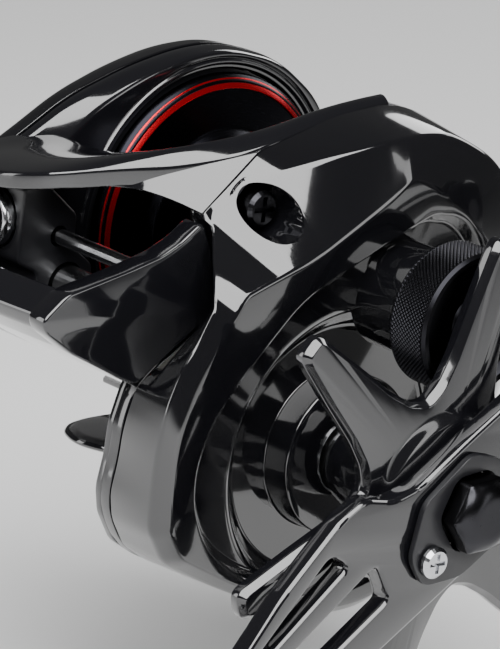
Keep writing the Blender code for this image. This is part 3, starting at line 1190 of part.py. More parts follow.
def make_thumb_bar(parts, tools, skins):
    """The bar behind the spool that the thumb presses, with its tongue through the wall."""
    gap = 0.4 * MM
    outline = [(18.3, -3.6), (18.6, 1.8), (20.6, 3.6), (24.4, 2.6), (25.0, 0.6), (23.4, -3.6)]
    bar = outline_prism("thumb_bar", outline, PALM_IN + gap, WALL_IN - gap, parts)
    low, high = at(TONGUE[0]), at(TONGUE[1])
    tongue = box("thumb_bar_tongue", (WALL_IN - gap - 0.6 * MM, low[0], low[1]),
                 (CAM_IN + CAM_THICKNESS, high[0], high[1]), tools)
    bridge = box("thumb_bar_bridge", (WALL_IN - gap - 0.6 * MM, low[0], low[1]),
                 (WALL_IN - gap - 0.05 * MM, high[0] + 1.2 * MM, high[1] - 0.05 * MM), tools)
    boolean(tongue, bridge, "UNION")
    boolean(bar, tongue, "UNION")
    dress(bar, skins["satin_black"])


def build_reel():
    clear_scene()
    parts = new_collection("baitcasting_reel")
    tools = new_collection("cutters")
    skins = {
        "painted_black": new_material("painted_black", (0.012, 0.012, 0.014), 0.0, 0.12),
        "cover_black": new_material("cover_black", (0.012, 0.012, 0.014), 0.0, 0.1),
        "spool_black": new_material("spool_black", (0.03, 0.03, 0.032), 1.0, 0.3),
        "satin_black": new_material("satin_black", (0.02, 0.02, 0.022), 0.0, 0.38),
        "steel": new_material("steel", (0.62, 0.62, 0.64), 1.0, 0.25),
        "brass": new_material("brass", (0.72, 0.53, 0.25), 1.0, 0.3),
        "white_plastic": new_material("white_plastic", (0.8, 0.8, 0.78), 0.0, 0.4),
        "fibre": new_material("fibre", (0.05, 0.05, 0.05), 0.0, 0.8),
        "ceramic": new_material("ceramic", (0.5, 0.52, 0.55), 0.3, 0.15),
        "rubber": new_material("rubber", (0.015, 0.015, 0.015), 0.0, 0.7),
        "red_anodised": new_material("red_anodised", (0.55, 0.02, 0.03), 0.9, 0.3),
    }
    make_main_frame(parts, tools, skins)
    make_foot(parts, tools, skins)
    make_gear_cover(parts, tools, skins)
    make_cover_screw(parts, tools, skins)
    make_palm_cover(parts, tools, skins)
    make_brake_parts(parts, tools, skins)
    make_spool(parts, tools, skins)
    make_pinion(parts, tools, skins)
    make_clutch(parts, tools, skins)
    make_gear_train(parts, tools, skins)
    make_line_guide(parts, tools, skins)
    make_cast_control(parts, tools, skins)
    make_star(parts, tools, skins)
    make_handle(parts, tools, skins)
    make_thumb_bar(parts, tools, skins)


build_reel()
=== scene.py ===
"""Looks of a low-profile baitcasting reel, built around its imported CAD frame.

Lengths are in millimetres until a mesh is made. Points are (x, y, z) with x along the spool's
axis towards the handle, y towards the rear and z up from the spool's axis, so AXIS is added to
z for the frame. Grids are numpy arrays of shape (rows, columns, 3).
"""

import json
import math

import bmesh
import bpy
import numpy as np
from mathutils import Matrix, Vector


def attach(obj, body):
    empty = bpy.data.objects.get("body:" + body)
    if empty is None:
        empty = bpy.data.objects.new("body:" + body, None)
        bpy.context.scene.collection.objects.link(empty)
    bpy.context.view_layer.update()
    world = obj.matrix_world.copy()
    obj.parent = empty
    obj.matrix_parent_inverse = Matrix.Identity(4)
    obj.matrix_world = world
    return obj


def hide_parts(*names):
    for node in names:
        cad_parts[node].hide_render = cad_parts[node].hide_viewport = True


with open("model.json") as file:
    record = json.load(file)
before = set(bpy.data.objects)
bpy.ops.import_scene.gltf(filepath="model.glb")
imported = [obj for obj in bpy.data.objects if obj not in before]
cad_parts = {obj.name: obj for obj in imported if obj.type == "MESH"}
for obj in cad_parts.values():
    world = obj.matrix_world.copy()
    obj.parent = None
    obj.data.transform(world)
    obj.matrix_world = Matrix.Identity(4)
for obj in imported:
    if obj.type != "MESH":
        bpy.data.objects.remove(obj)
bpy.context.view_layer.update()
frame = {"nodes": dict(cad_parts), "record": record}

MM = 0.001
AXIS = 21.5                             # spool's axis above the foot's seat
SPOOL = (0.0, 0.0)                      # (y, z) of the spool's axis
MAIN = (-4.7, -18.26)                   # (y, z) of the handle's axis
HANDLE_ANGLE = math.radians(-143.6)
KNOB_REACH = 45.0                       # handle's axis to a knob's
FIRST_ARM = 79.0                        # direction of a star arm, in degrees
WALL_IN, WALL_OUT = 11.9, 12.9          # gear-side wall of the frame
FRAME_IN, FRAME_OUT = -11.6, 12.3       # reach of the cross pieces between both walls
PALM_IN, PALM_OUT = -11.2, -14.2        # palm-side wall
PALM_COVER_IN = -14.5
FINE, COARSE = 720, 480                 # points on a ring of the gear side and palm side
STAR_RING, NUT_RING = 1440, 240


# ---------------------------------------------------------------- surfaces
def fillet(points, reach, steps=6, closed=True):
    """Rounds the corners of a polyline: corner P becomes the quadratic Bezier curve from
    P + t(A - P) over P to P + t(B - P), A and B being its neighbours and t the reach as a
    share of each side, at most 0.45. Works on (K, ..., d) arrays along the first axis."""
    points = np.asarray(points, float)
    reach = np.broadcast_to(np.asarray(reach, float), points.shape[:1])
    before, after = np.roll(points, 1, 0), np.roll(points, -1, 0)
    shape = (-1,) + (1,) * (points.ndim - 1)

    def leg(other):
        way = other - points
        size = np.maximum(np.linalg.norm(way, axis=-1, keepdims=True), 1e-9)
        return points + way * np.minimum(reach.reshape(shape) / size, 0.45)

    start, end = leg(before), leg(after)
    if not closed:
        start[0] = end[0] = points[0]
        start[-1] = end[-1] = points[-1]
    share = np.linspace(0.0, 1.0, steps).reshape((1, -1) + (1,) * (points.ndim - 1))
    curve = ((1 - share) ** 2 * start[:, None] + 2 * share * (1 - share) * points[:, None]
             + share ** 2 * end[:, None])
    return curve.reshape((-1,) + points.shape[1:])


def ring_about(rows, centre, count=FINE, smooth=3.0):
    """A closed outline of (y, z, x[, reach]) rows as count points at even angles about centre."""
    width = max(len(row) for row in rows)
    full = np.array([tuple(row) + (smooth,) * (4 - len(row)) for row in rows], float)
    dense = fillet(full[:, :3], full[:, 3] if width > 3 else smooth, 9)
    dense = np.vstack([dense, dense[:1]])
    share = np.linspace(0, 1, 12, endpoint=False)[None, :, None]
    dense = (dense[:-1, None] * (1 - share) + dense[1:, None] * share).reshape(-1, 3)
    angle = np.arctan2(dense[:, 1] - centre[1], dense[:, 0] - centre[0])
    radius = np.hypot(dense[:, 0] - centre[0], dense[:, 1] - centre[1])
    order = np.argsort(angle)
    at = np.linspace(-math.pi, math.pi, count, endpoint=False)
    reach = np.interp(at, angle[order], radius[order], period=2 * math.pi)
    depth = np.interp(at, angle[order], dense[order, 2], period=2 * math.pi)
    return np.stack([depth, centre[0] + reach * np.cos(at), centre[1] + reach * np.sin(at)], 1)


def moved_in(ring, centre, amount, x=None):
    """The ring drawn towards its centre by an amount, and set at one depth if x is given."""
    out = ring.copy()
    away = ring[:, 1:] - np.asarray(centre)
    size = np.linalg.norm(away, axis=1, keepdims=True)
    out[:, 1:] = np.asarray(centre) + away * (size - amount) / size
    if x is not None:
        out[:, 0] = x
    return out


def circle_seen_from(centre, radius, middle, count=FINE, x=0.0):
    """A circle about middle, as the points met at even angles about centre."""
    at = np.linspace(-math.pi, math.pi, count, endpoint=False)
    away = np.stack([np.cos(at), np.sin(at)], 1)
    gap = np.asarray(middle, float) - np.asarray(centre, float)
    along = away @ gap
    reach = along + np.sqrt(np.maximum(along ** 2 - gap @ gap + radius ** 2, 0.0))
    place = np.asarray(centre) + away * reach[:, None]
    return np.stack([np.full(count, x), place[:, 0], place[:, 1]], 1)


def lay(name, grid, wrap_rows=False, wrap_columns=False, sharp=38.0):
    """A mesh on a grid of points: one four-sided face between each four neighbours. Edges
    sharper than sharp degrees keep a hard line."""
    grid = np.asarray(grid, float).copy()
    grid[..., 2] += AXIS
    index = np.arange(grid.shape[0] * grid.shape[1]).reshape(grid.shape[:2])
    if wrap_rows:
        index = np.vstack([index, index[:1]])
    if wrap_columns:
        index = np.hstack([index, index[:, :1]])
    faces = np.stack([index[:-1, :-1], index[1:, :-1], index[1:, 1:], index[:-1, 1:]], -1)
    return mesh_object(name, grid.reshape(-1, 3) * MM, faces.reshape(-1, 4), sharp)


def mesh_object(name, points, faces, sharp=38.0):
    """Points in metres and faces as one object, doubles merged and normals outwards."""
    mesh = bpy.data.meshes.new(name)
    mesh.from_pydata(points.tolist(), [], faces.tolist())
    work = bmesh.new()
    work.from_mesh(mesh)
    bmesh.ops.remove_doubles(work, verts=work.verts, dist=2e-6)
    bmesh.ops.dissolve_degenerate(work, edges=work.edges, dist=1e-7)
    bmesh.ops.recalc_face_normals(work, faces=work.faces)
    work.to_mesh(mesh)
    work.free()
    mesh.shade_smooth()
    mesh.set_sharp_from_angle(angle=math.radians(sharp))
    item = bpy.data.objects.new(name, mesh)
    bpy.context.scene.collection.objects.link(item)
    return item


def turned(name, profile, centre=SPOOL, soft=0.15, steps=128, closed=False, sharp=38.0):
    """A profile of (x, radius) turned about the X line through centre: the point at angle a is
    (x, centre_y + r cos a, centre_z + r sin a)."""
    line = fillet(np.array(profile, float), soft, 5, closed)
    at = np.linspace(0, 2 * math.pi, steps, endpoint=False)
    x = np.repeat(line[:, :1], steps, 1)
    y = centre[0] + line[:, 1:] * np.cos(at)
    z = centre[1] + line[:, 1:] * np.sin(at)
    return lay(name, np.stack([x, y, z], -1), closed, True, sharp)


def stack(name, rings, soft=0.3, sharp=38.0, capped=True, steps=5):
    """Closed rings joined one after the other, with rounded steps between them and the first
    and last closed to their middles."""
    rings = np.array(rings, float)
    if capped:
        first = np.broadcast_to(rings[0].mean(0), rings[0].shape)
        last = np.broadcast_to(rings[-1].mean(0), rings[-1].shape)
        rings = np.concatenate([first[None], rings, last[None]])
        reach = np.full(len(rings), soft)
        return lay(name, fillet(rings, reach, steps, False), False, True, sharp)
    return lay(name, fillet(rings, soft, steps, True), True, True, sharp)


def extruded(name, outline, x_in, x_out, edge=0.25, corner=0.4, steps=5, sharp=30.0):
    """A flat (y, z) outline with rounded corners as a filled 2D curve given a rounded edge.
    Outlines after the first are holes in it."""
    curve = bpy.data.curves.new(name, "CURVE")
    curve.dimensions = "2D"
    curve.fill_mode = "BOTH"
    curve.extrude = (x_out - x_in) / 2 * MM - edge * MM
    curve.bevel_depth = edge * MM
    curve.bevel_resolution = 2
    curve.offset = -edge * MM
    outlines = outline if isinstance(outline[0][0], (tuple, list, np.ndarray)) else [outline]
    for points in outlines:
        line = fillet(np.array(points, float), corner, steps) * MM
        spline = curve.splines.new("POLY")
        spline.points.add(len(line) - 1)
        flat = np.concatenate([line, np.zeros((len(line), 1)), np.ones((len(line), 1))], 1)
        spline.points.foreach_set("co", flat.ravel())
        spline.use_cyclic_u = True
    item = bpy.data.objects.new(name, curve)
    bpy.context.scene.collection.objects.link(item)
    graph = bpy.context.evaluated_depsgraph_get()
    mesh = bpy.data.meshes.new_from_object(item.evaluated_get(graph))
    bpy.data.objects.remove(item)
    middle = (x_in + x_out) / 2 * MM
    mesh.transform(Matrix(((0, 0, 1, middle), (1, 0, 0, 0), (0, 1, 0, AXIS * MM),
                           (0, 0, 0, 1))))
    return tidy_mesh(name, mesh, sharp)


def tidy_mesh(name, mesh, sharp=30.0):
    """An object of the mesh, doubles merged and normals outwards."""
    work = bmesh.new()
    work.from_mesh(mesh)
    bmesh.ops.remove_doubles(work, verts=work.verts, dist=2e-6)
    bmesh.ops.recalc_face_normals(work, faces=work.faces)
    work.to_mesh(mesh)
    work.free()
    mesh.shade_smooth()
    mesh.set_sharp_from_angle(angle=math.radians(sharp))
    mesh.name = name
    piece = bpy.data.objects.new(name, mesh)
    bpy.context.scene.collection.objects.link(piece)
    return piece


def bored(piece, *cutters):
    """The piece with the cutters' shapes taken out of it."""
    for cutter in cutters:
        cut = piece.modifiers.new("bore", "BOOLEAN")
        cut.operation = "DIFFERENCE"
        cut.solver = "MANIFOLD"
        cut.object = cutter
    graph = bpy.context.evaluated_depsgraph_get()
    mesh = bpy.data.meshes.new_from_object(piece.evaluated_get(graph))
    piece.modifiers.clear()
    piece.data = mesh
    for cutter in cutters:
        bpy.data.objects.remove(cutter)
    mesh.shade_smooth()
    mesh.set_sharp_from_angle(angle=math.radians(30.0))
    return piece


def polar(centre, radius, degrees):
    """(y, z) at a radius and direction from centre."""
    turn = math.radians(degrees)
    return (centre[0] + radius * math.cos(turn), centre[1] + radius * math.sin(turn))


def handle_point(along, out):
    """(y, z) of a point along the handle from the main axis, and across it."""
    c, s = math.cos(HANDLE_ANGLE), math.sin(HANDLE_ANGLE)
    return (MAIN[0] + along * c - out * s, MAIN[1] + along * s + out * c)


# ---------------------------------------------------------------- finishes
def linear(code):
    """An sRGB hex colour as linear RGBA."""
    parts = [int(code[i:i + 2], 16) / 255 for i in (0, 2, 4)]
    return tuple(p / 12.92 if p <= 0.04045 else ((p + 0.055) / 1.055) ** 2.4
                 for p in parts) + (1.0,)


def add(tree, kind, settings=None, **links):
    """One shader node, with its sockets set to values or joined to other nodes' sockets."""
    node = tree.nodes.new(kind)
    for key, value in (settings or {}).items():
        setattr(node, key, value)
    for key, value in links.items():
        socket = node.inputs[int(key[1:])] if key[0] == "i" and key[1:].isdigit() \
            else node.inputs[key.replace("_", " ")]
        if isinstance(value, bpy.types.NodeSocket):
            tree.links.new(value, socket)
        else:
            socket.default_value = value
    return node


def finish_of(name, colour, rough, metal=0.0, coat=0.0, spread=0.04, grain=900.0, bump=0.0006,
              second=None, stretch=(1, 1, 1), kind="noise"):
    """A finish with fine variation of its colour and roughness and a slight relief, in the
    object's own coordinates. Grain is features to the metre, bump the relief in metres, spread
    the roughness either way, and stretch draws the grain out along the other axes."""
    material = bpy.data.materials.new(name)
    material.use_nodes = True
    tree = material.node_tree
    shader = tree.nodes["Principled BSDF"]
    shader.inputs["Metallic"].default_value = metal
    shader.inputs["Coat Weight"].default_value = coat
    shader.inputs["Coat Roughness"].default_value = 0.03
    place = add(tree, "ShaderNodeTexCoord").outputs["Object"]
    scaled = add(tree, "ShaderNodeMapping", Vector=place, Scale=stretch).outputs[0]
    fine = add(tree, "ShaderNodeTexNoise", Vector=scaled, Scale=grain, Detail=4.0,
               Roughness=0.55)
    broad = add(tree, "ShaderNodeTexNoise", Vector=place, Scale=grain / 14, Detail=2.0)
    relief = fine.outputs["Fac"]
    if kind == "weave":
        waves = [add(tree, "ShaderNodeTexWave", {"bands_direction": way}, Vector=place,
                     Scale=grain, Distortion=0.0).outputs["Fac"] for way in ("Y", "Z")]
        relief = add(tree, "ShaderNodeMath", {"operation": "MAXIMUM"}, i0=waves[0],
                     i1=waves[1]).outputs[0]
    mixed = add(tree, "ShaderNodeMix", {"data_type": "RGBA"}, Factor=broad.outputs["Fac"])
    mixed.inputs[6].default_value = linear(colour)
    mixed.inputs[7].default_value = linear(second or colour)
    tree.links.new(mixed.outputs[2], shader.inputs["Base Color"])
    drift = add(tree, "ShaderNodeMapRange", Value=fine.outputs["Fac"])
    drift.inputs["To Min"].default_value = max(rough - spread, 0.02)
    drift.inputs["To Max"].default_value = rough + spread
    tree.links.new(drift.outputs[0], shader.inputs["Roughness"])
    height = add(tree, "ShaderNodeBump", Strength=0.35, Distance=bump, Height=relief)
    tree.links.new(height.outputs[0], shader.inputs["Normal"])
    return material


FINISH = {
    # moulded ABS with a polished skin: near-black, with clear hard-edged reflections
    "cover_black": finish_of("piano_black_abs", "0b0b0d", 0.09, coat=1.0, spread=0.02,
                             second="0e0e11", bump=0.000004),
    # cast aluminium under baked enamel: the same black, its reflections a little softer
    "painted_black": finish_of("black_enamelled_aluminium", "0d0d10", 0.11, coat=1.0,
                               spread=0.02, second="111114", bump=0.000005),
    # turned and anodised aluminium: dark grey metal, streaked round the axis by the tool
    "spool_black": finish_of("black_anodised_aluminium", "1b1b1f", 0.26, metal=1.0, spread=0.06,
                             second="232328", stretch=(40, 1, 1), bump=0.000006),
    # moulded nylon: flat soft black, a broad dull highlight
    "satin_black": finish_of("satin_black_nylon", "131316", 0.36, spread=0.08,
                             second="19191c", bump=0.00002),
    # turned stainless steel: bright silver with fine turning marks
    "steel": finish_of("turned_stainless_steel", "c9cacc", 0.2, metal=1.0, spread=0.07,
                       second="b9babd", stretch=(1, 6, 6), bump=0.000006),
    # steel with a black oxide skin: dark metal that still catches the light on its edges
    "dark_steel": finish_of("black_oxide_steel", "2a2a2c", 0.25, metal=1.0, spread=0.06,
                            second="343437", bump=0.000006),
    # machined brass: warm yellow metal with fine turning marks
    "brass": finish_of("machined_brass", "c8a050", 0.24, metal=1.0, spread=0.07,
                       second="b98f42", stretch=(1, 6, 6), bump=0.000006),
    # moulded acetal: milky white, waxy rather than shiny
    "white_plastic": finish_of("acetal_gear_plastic", "e6e4dc", 0.42, spread=0.06,
                               second="d9d6cb", bump=0.00001),
    # woven carbon: dull dark cloth with threads 0.6 mm apart
    "fibre": finish_of("woven_carbon_washer", "1a1a1b", 0.6, spread=0.1, second="2b2b2c",
                       grain=500.0, bump=0.00006, kind="weave"),
    # ground and polished ceramic: smooth mid grey with a glassy skin
    "ceramic": finish_of("polished_grey_ceramic", "7f848a", 0.1, spread=0.03, coat=0.6,
                         second="8f949a", bump=0.000003),
    # foamed EVA: matt black with hardly any highlight, its pits drawn 0.4 mm wide to show
    "rubber": finish_of("eva_grip_foam", "131314", 0.78, spread=0.08, second="1b1b1c",
                        grain=2600.0, bump=0.00006),
    # turned and dyed aluminium: deep red metal with a bright tinted highlight
    "red_anodised": finish_of("red_anodised_aluminium", "c4121f", 0.22, metal=0.85,
                              spread=0.05, second="a50d19", stretch=(30, 1, 1),
                              bump=0.000005),
    # knurled and anodised aluminium: dark metal, each diamond with its own small glint
    "knurled_black": finish_of("black_knurled_aluminium", "1c1c1f", 0.3, metal=1.0,
                               spread=0.06, second="27272a", bump=0.000005),
}


def show(piece, finish, body, replaced=()):
    """The finish, body and replaced nodes of a finished piece."""
    piece.data.materials.clear()
    piece.data.materials.append(FINISH[finish])
    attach(piece, body)
    if replaced:
        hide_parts(*replaced)
    return piece


# ---------------------------------------------------------------- gear side cover
# (y, z, x[, corner]) of the lines that the cover's skin runs through
PARTING = [
    (2.0, 19.9, 14.5), (-6.0, 18.9, 14.5), (-11.5, 17.2, 14.5), (-16.7, 15.6, 14.5, 0.8),
    (-24.1, 9.0, 14.5, 0.6), (-21.9, 4.8, 14.5, 0.8), (-20.8, -2.3, 14.5, 0.8),
    (-30.6, -9.8, 14.5, 0.5), (-31.8, -14.0, 14.5), (-32.0, -18.0, 14.5),
    (-32.6, -21.5, 14.5, 1.0), (-32.0, -24.5, 14.5, 1.0), (-29.8, -28.0, 14.5, 1.0),
    (-26.5, -30.0, 14.5, 1.0), (-21.0, -32.4, 14.5), (-8.0, -37.4, 14.5), (0.0, -37.2, 14.5),
    (6.0, -34.8, 14.5), (11.0, -30.0, 14.5), (15.5, -22.0, 14.5), (18.6, -12.5, 14.5),
    (20.2, -4.0, 14.5), (20.3, 2.0, 14.5), (18.6, 8.6, 14.5), (14.4, 14.0, 14.5),
    (8.0, 18.0, 14.5)]
CREASE = [
    (3.9, 18.2, 22.0), (-2.9, 17.9, 21.8), (-7.3, 16.9, 21.0), (-11.2, 15.9, 19.8),
    (-14.3, 14.7, 18.6), (-17.5, 13.2, 17.2), (-20.7, 11.2, 15.7), (-23.0, 8.7, 14.9, 0.6),
    (-25.2, 5.4, 18.2, 1.0), (-28.1, 1.2, 22.6, 0.5), (-29.9, -2.6, 22.5, 1.0),
    (-31.5, -5.3, 22.4), (-32.5, -9.5, 22.0), (-32.9, -14.0, 21.6), (-32.9, -19.0, 21.4),
    (-32.5, -24.0, 21.4, 1.0), (-30.0, -27.9, 21.4, 1.0), (-21.2, -32.0, 21.6),
    (-8.0, -37.0, 21.6), (0.0, -36.7, 21.7), (6.0, -34.0, 21.8), (10.8, -29.0, 21.9),
    (15.0, -21.0, 22.0), (17.9, -12.2, 22.0), (19.2, -4.0, 22.0), (19.2, 2.0, 22.0),
    (17.4, 8.3, 22.0), (13.5, 13.2, 22.0), (11.0, 15.2, 22.0), (7.1, 17.1, 22.0)]
OUTER_RIDGE = [
    (1.3, 12.8, 23.6), (-1.6, 14.0, 23.6, 1.5), (-5.3, 11.0, 23.6), (-10.3, 8.2, 23.6),
    (-15.3, 5.5, 23.6), (-20.0, 4.0, 23.6), (-24.6, 2.3, 23.6, 0.8), (-26.2, -0.9, 23.7, 1.0),
    (-29.5, -6.0, 23.7), (-31.4, -11.3, 23.6), (-31.8, -14.5, 23.5), (-31.7, -19.0, 23.5),
    (-31.2, -23.4, 23.5, 1.0), (-28.9, -26.9, 23.5, 1.0), (-20.8, -30.8, 23.5),
    (-8.0, -35.6, 23.5), (0.0, -35.0, 23.5), (5.6, -32.0, 23.5), (10.2, -26.9, 23.5),
    (14.0, -18.0, 23.5), (15.8, -10.0, 23.5), (16.0, -3.0, 23.5), (14.4, 1.6, 23.5),
    (11.9, 4.5, 23.6), (7.2, 8.9, 23.6)]
INNER_RIDGE = [
    (2.5, 9.4, 23.4, 1.2), (-2.6, 7.3, 23.4), (-6.8, 5.4, 23.4), (-10.9, 3.4, 23.4),
    (-15.6, 1.2, 23.4), (-20.0, -3.4, 23.4), (-24.7, -8.6, 23.4), (-27.1, -12.2, 23.4),
    (-28.4, -16.5, 23.4), (-28.2, -21.0, 23.4), (-25.8, -26.0, 23.4), (-20.5, -30.0, 23.4),
    (-12.0, -33.2, 23.4), (-4.0, -33.9, 23.4), (3.0, -31.8, 23.4), (8.0, -27.2, 23.4),
    (11.0, -20.0, 23.4), (12.6, -13.0, 23.4), (13.0, -6.0, 23.4), (12.5, 0.0, 23.4),
    (10.6, 5.0, 23.4), (7.0, 8.8, 23.4)]


def cover_rings():
    """The cover's section as closed rings about the handle's axis: outside from the parting
    line over both ridges down the dish to its hub, inside from the hub back to the rim."""
    parting = ring_about(PARTING, MAIN)
    crease = ring_about(CREASE, MAIN)
    outer = ring_about(OUTER_RIDGE, MAIN)
    inner = ring_about(INNER_RIDGE, MAIN)
    lip = moved_in(inner, MAIN, 0.7, 22.3)
    away = np.linalg.norm(lip[:, 1:] - np.array(MAIN), axis=1)
    even = np.linspace(-math.pi, math.pi, FINE, endpoint=False)
    way = np.stack([np.cos(even), np.sin(even)], 1)

    def dish(radius, x):
        """A circle at depth x, held 0.5 mm inside the inner ridge's lip."""
        reach = np.minimum(away - 0.5, radius)
        return np.concatenate([np.full((FINE, 1), x), np.array(MAIN) + way * reach[:, None]], 1)

    floor = moved_in(inner, MAIN, 1.1, 21.6)
    outside = [moved_in(parting, MAIN, 1.3, 14.5), parting, crease, outer, inner, lip, floor,
               dish(17.0, 21.5), dish(14.9, 18.9), dish(14.2, 18.25), dish(9.2, 18.25),
               dish(9.2, 21.9), dish(8.5, 22.05), dish(5.4, 22.05), dish(4.4, 22.05)]
    inside = [dish(4.4, 21.35), dish(7.2, 21.35), dish(7.2, 17.25), dish(15.4, 17.25),
              dish(15.6, 20.2), moved_in(crease, MAIN, 2.6, 20.2)]
    inside[-1][:, 0] = np.minimum(crease[:, 0] - 1.5, 20.2)
    inside[-2][:, 0] = np.minimum(inside[-2][:, 0], inside[-1][:, 0])
    return outside, inside, parting, crease, outer


outside, inside, parting_ring, crease_ring, ridge_ring = cover_rings()
soften = [0.1, 0.15, 0.5, 0.45, 0.35, 0.3, 0.4, 0.9, 0.8, 0.4, 0.3, 0.3, 0.2, 0.2, 0.1]
soften += [0.2] * len(inside)
rings = np.array(outside + inside)
cover = lay("gear_cover_shell", fillet(rings, soften, 5, True), True, True, 24.0)

SCREW = (-17.9, 9.9)
WELL, WELL_FLOOR = 2.9, 15.9            # radius and depth of the screw's recess
PASSAGE = 3.6                           # radius of the way through for the spool's shaft
PAST_COVER = 26.0
cover = bored(cover, turned("recess_cut", [(WELL_FLOOR, 0.0), (WELL_FLOOR, WELL),
                                           (PAST_COVER, WELL), (PAST_COVER, 0.0)],
                            SCREW, 0.0, 64),
              turned("passage_cut", [(17.0, 0.0), (17.0, PASSAGE), (PAST_COVER, PASSAGE),
                                     (PAST_COVER, 0.0)], SPOOL, 0.0, 64))
show(cover, "cover_black", "frame", ["gear_side_cover"])

well_angle = np.linspace(0, 2 * math.pi, 96, endpoint=False)
skin = np.concatenate([below[None] * (1 - s) + above[None] * s
                       for below, above in ((parting_ring, crease_ring),
                                            (crease_ring, ridge_ring))
                       for s in np.linspace(0, 1, 12)]).reshape(-1, 3)


def skin_depth(radius):
    """Depth of the cover's outer skin at the points of a circle about the screw."""
    y, z = SCREW[0] + radius * np.cos(well_angle), SCREW[1] + radius * np.sin(well_angle)
    gap = (skin[None, :, 1] - y[:, None]) ** 2 + (skin[None, :, 2] - z[:, None]) ** 2
    return skin[np.argmin(gap, 1), 0]


def well_ring(radius, depth):
    """A circle about the screw, at one depth or at a depth for each point."""
    depth = np.broadcast_to(depth, well_angle.shape)
    return np.stack([depth, SCREW[0] + radius * np.cos(well_angle),
                     SCREW[1] + radius * np.sin(well_angle)], 1)


def well_brim(radius):
    """Depth of the lining's brim: just under the skin, and never below its own floor."""
    return np.maximum(skin_depth(radius) - 0.35, 15.3)


well = lay("cover_screw_well", np.array(
    [well_ring(0, 15.1), well_ring(3.35, 15.1), well_ring(3.35, well_brim(3.35)),
     well_ring(2.88, well_brim(WELL)), well_ring(2.88, WELL_FLOOR),
     well_ring(0, WELL_FLOOR)]), False, True)
show(well, "cover_black", "frame")

boss = turned("cast_control_boss", [(20.6, 4.3), (20.6, 6.2), (32.0, 6.2), (32.0, 4.3)],
              SPOOL, 0.2, 96, True)
show(boss, "cover_black", "frame")

# ---------------------------------------------------------------- frame
GEAR_BOX = [(-30.6, -9.8), (-31.8, -14.0), (-32.0, -18.0), (-32.6, -21.5), (-32.0, -24.5),
            (-29.8, -28.0), (-26.5, -30.0), (-21.0, -32.4), (-8.0, -37.4), (0.0, -37.2),
            (6.0, -34.8), (11.0, -30.0), (15.5, -22.0), (18.6, -12.5), (20.2, -4.0),
            (20.3, 2.0), (18.6, 8.6), (14.4, 14.0), (8.0, 18.0), (2.0, 19.8)]
wall = extruded("frame_side_wall", [GEAR_BOX + [(-5.0, 18.9), (-16.0, 15.9), (-23.8, 8.9),
                                                (-22.0, 4.8), (-21.0, -2.3)]],
                WALL_IN, WALL_OUT, 0.15, 0.8)
ROD, WORM = (-30.0, 2.7), (-28.3, -2.9)
IDLER = (-18.117, -12.136)
wall = bored(wall, *[turned(f"wall_cut_{i}", [(10.0, 0.0), (10.0, r), (16.0, r), (16.0, 0.0)],
                            c, 0.0, 48)
                     for i, (c, r) in enumerate(((SPOOL, 5.0), (MAIN, 4.6), (WORM, 3.2),
                                                 (IDLER, 1.5)))])
show(wall, "painted_black", "frame", ["main_frame"])
rim_out = ring_about([(y, z, WALL_OUT) for y, z in GEAR_BOX]
                     + [(-5.0, 18.9, 12.9), (-16.6, 15.6, 12.9, 0.6), (-24.0, 9.0, 12.9, 0.6),
                        (-22.0, 4.8, 12.9, 0.8), (-21.0, -2.3, 12.9, 0.8)], MAIN)
rim = [moved_in(rim_out, MAIN, a, x) for a, x in ((0.0, 12.8), (0.0, 14.25), (1.3, 14.25),
                                                  (1.3, 12.8))]
show(stack("frame_rim", rim, 0.12, capped=False, sharp=30.0), "painted_black", "frame")

# hood: the cover plate over the line guide, from its front edge back along the handle side
HOOD_FRONT = [(-16.6, -30.5, 9.2), (-14.2, -36.5, 8.6), (-8.0, -39.0, 9.8), (0.0, -39.6, 11.0),
              (5.2, -37.2, 12.2), (8.4, -30.4, 13.0), (10.4, -26.0, 13.3), (12.2, -21.6, 14.2),
              (14.3, -16.7, 15.6), (14.3, -8.0, 18.0), (14.3, -2.0, 19.3), (14.25, 2.0, 19.7)]
HOOD_REAR = [(-12.4, -22.0, 10.9), (-6.0, -23.4, 11.3), (-2.0, -24.0, 11.8), (3.2, -25.2, 13.1),
             (8.0, -23.9, 14.6), (10.4, -20.2, 15.8), (11.5, -14.3, 17.0), (11.95, -5.1, 19.2),
             (11.95, 2.0, 19.9)]


def run_of(points, count, smooth=3.0):
    """A polyline as count points evenly spaced along it, its corners rounded."""
    line = fillet(np.array(points, float), smooth, 9, False)
    step = np.concatenate([[0], np.cumsum(np.linalg.norm(np.diff(line, axis=0), axis=1))])
    at = np.linspace(0, step[-1], count)
    return np.stack([np.interp(at, step, line[:, i]) for i in range(line.shape[1])], 1)


def strip(name, front, rear, thick, bulge=0.6, count=160, across=9, soft=0.35):
    """A plate between two edges: point (t, s) is the mix of both edges at share s across,
    lifted by bulge * 4 s (1 - s), and closed below by the same surface set down."""
    share = np.linspace(0, 1, across)[None, :, None]
    top = front[:, None] * (1 - share) + rear[:, None] * share
    top[..., 2] += bulge * (4 * share * (1 - share))[..., 0]
    low = top[:, ::-1].copy()
    low[..., 2] -= np.asarray(thick)
    loop = np.concatenate([top, low], 1).transpose(1, 0, 2)
    loop = fillet(loop, np.array([soft] + [9.0] * (across - 2) + [soft] * 2
                                 + [9.0] * (across - 2) + [soft]), 5, True)
    rows = loop.transpose(1, 0, 2)
    ends = [np.broadcast_to(rows[i].mean(0), rows[0].shape)[None] for i in (0, -1)]
    return lay(name, np.concatenate([ends[0], rows, ends[1]]), False, True, 28.0)


hood = strip("frame_hood", run_of(HOOD_FRONT, 160), run_of(HOOD_REAR, 160), 1.9)
show(hood, "painted_black", "frame")

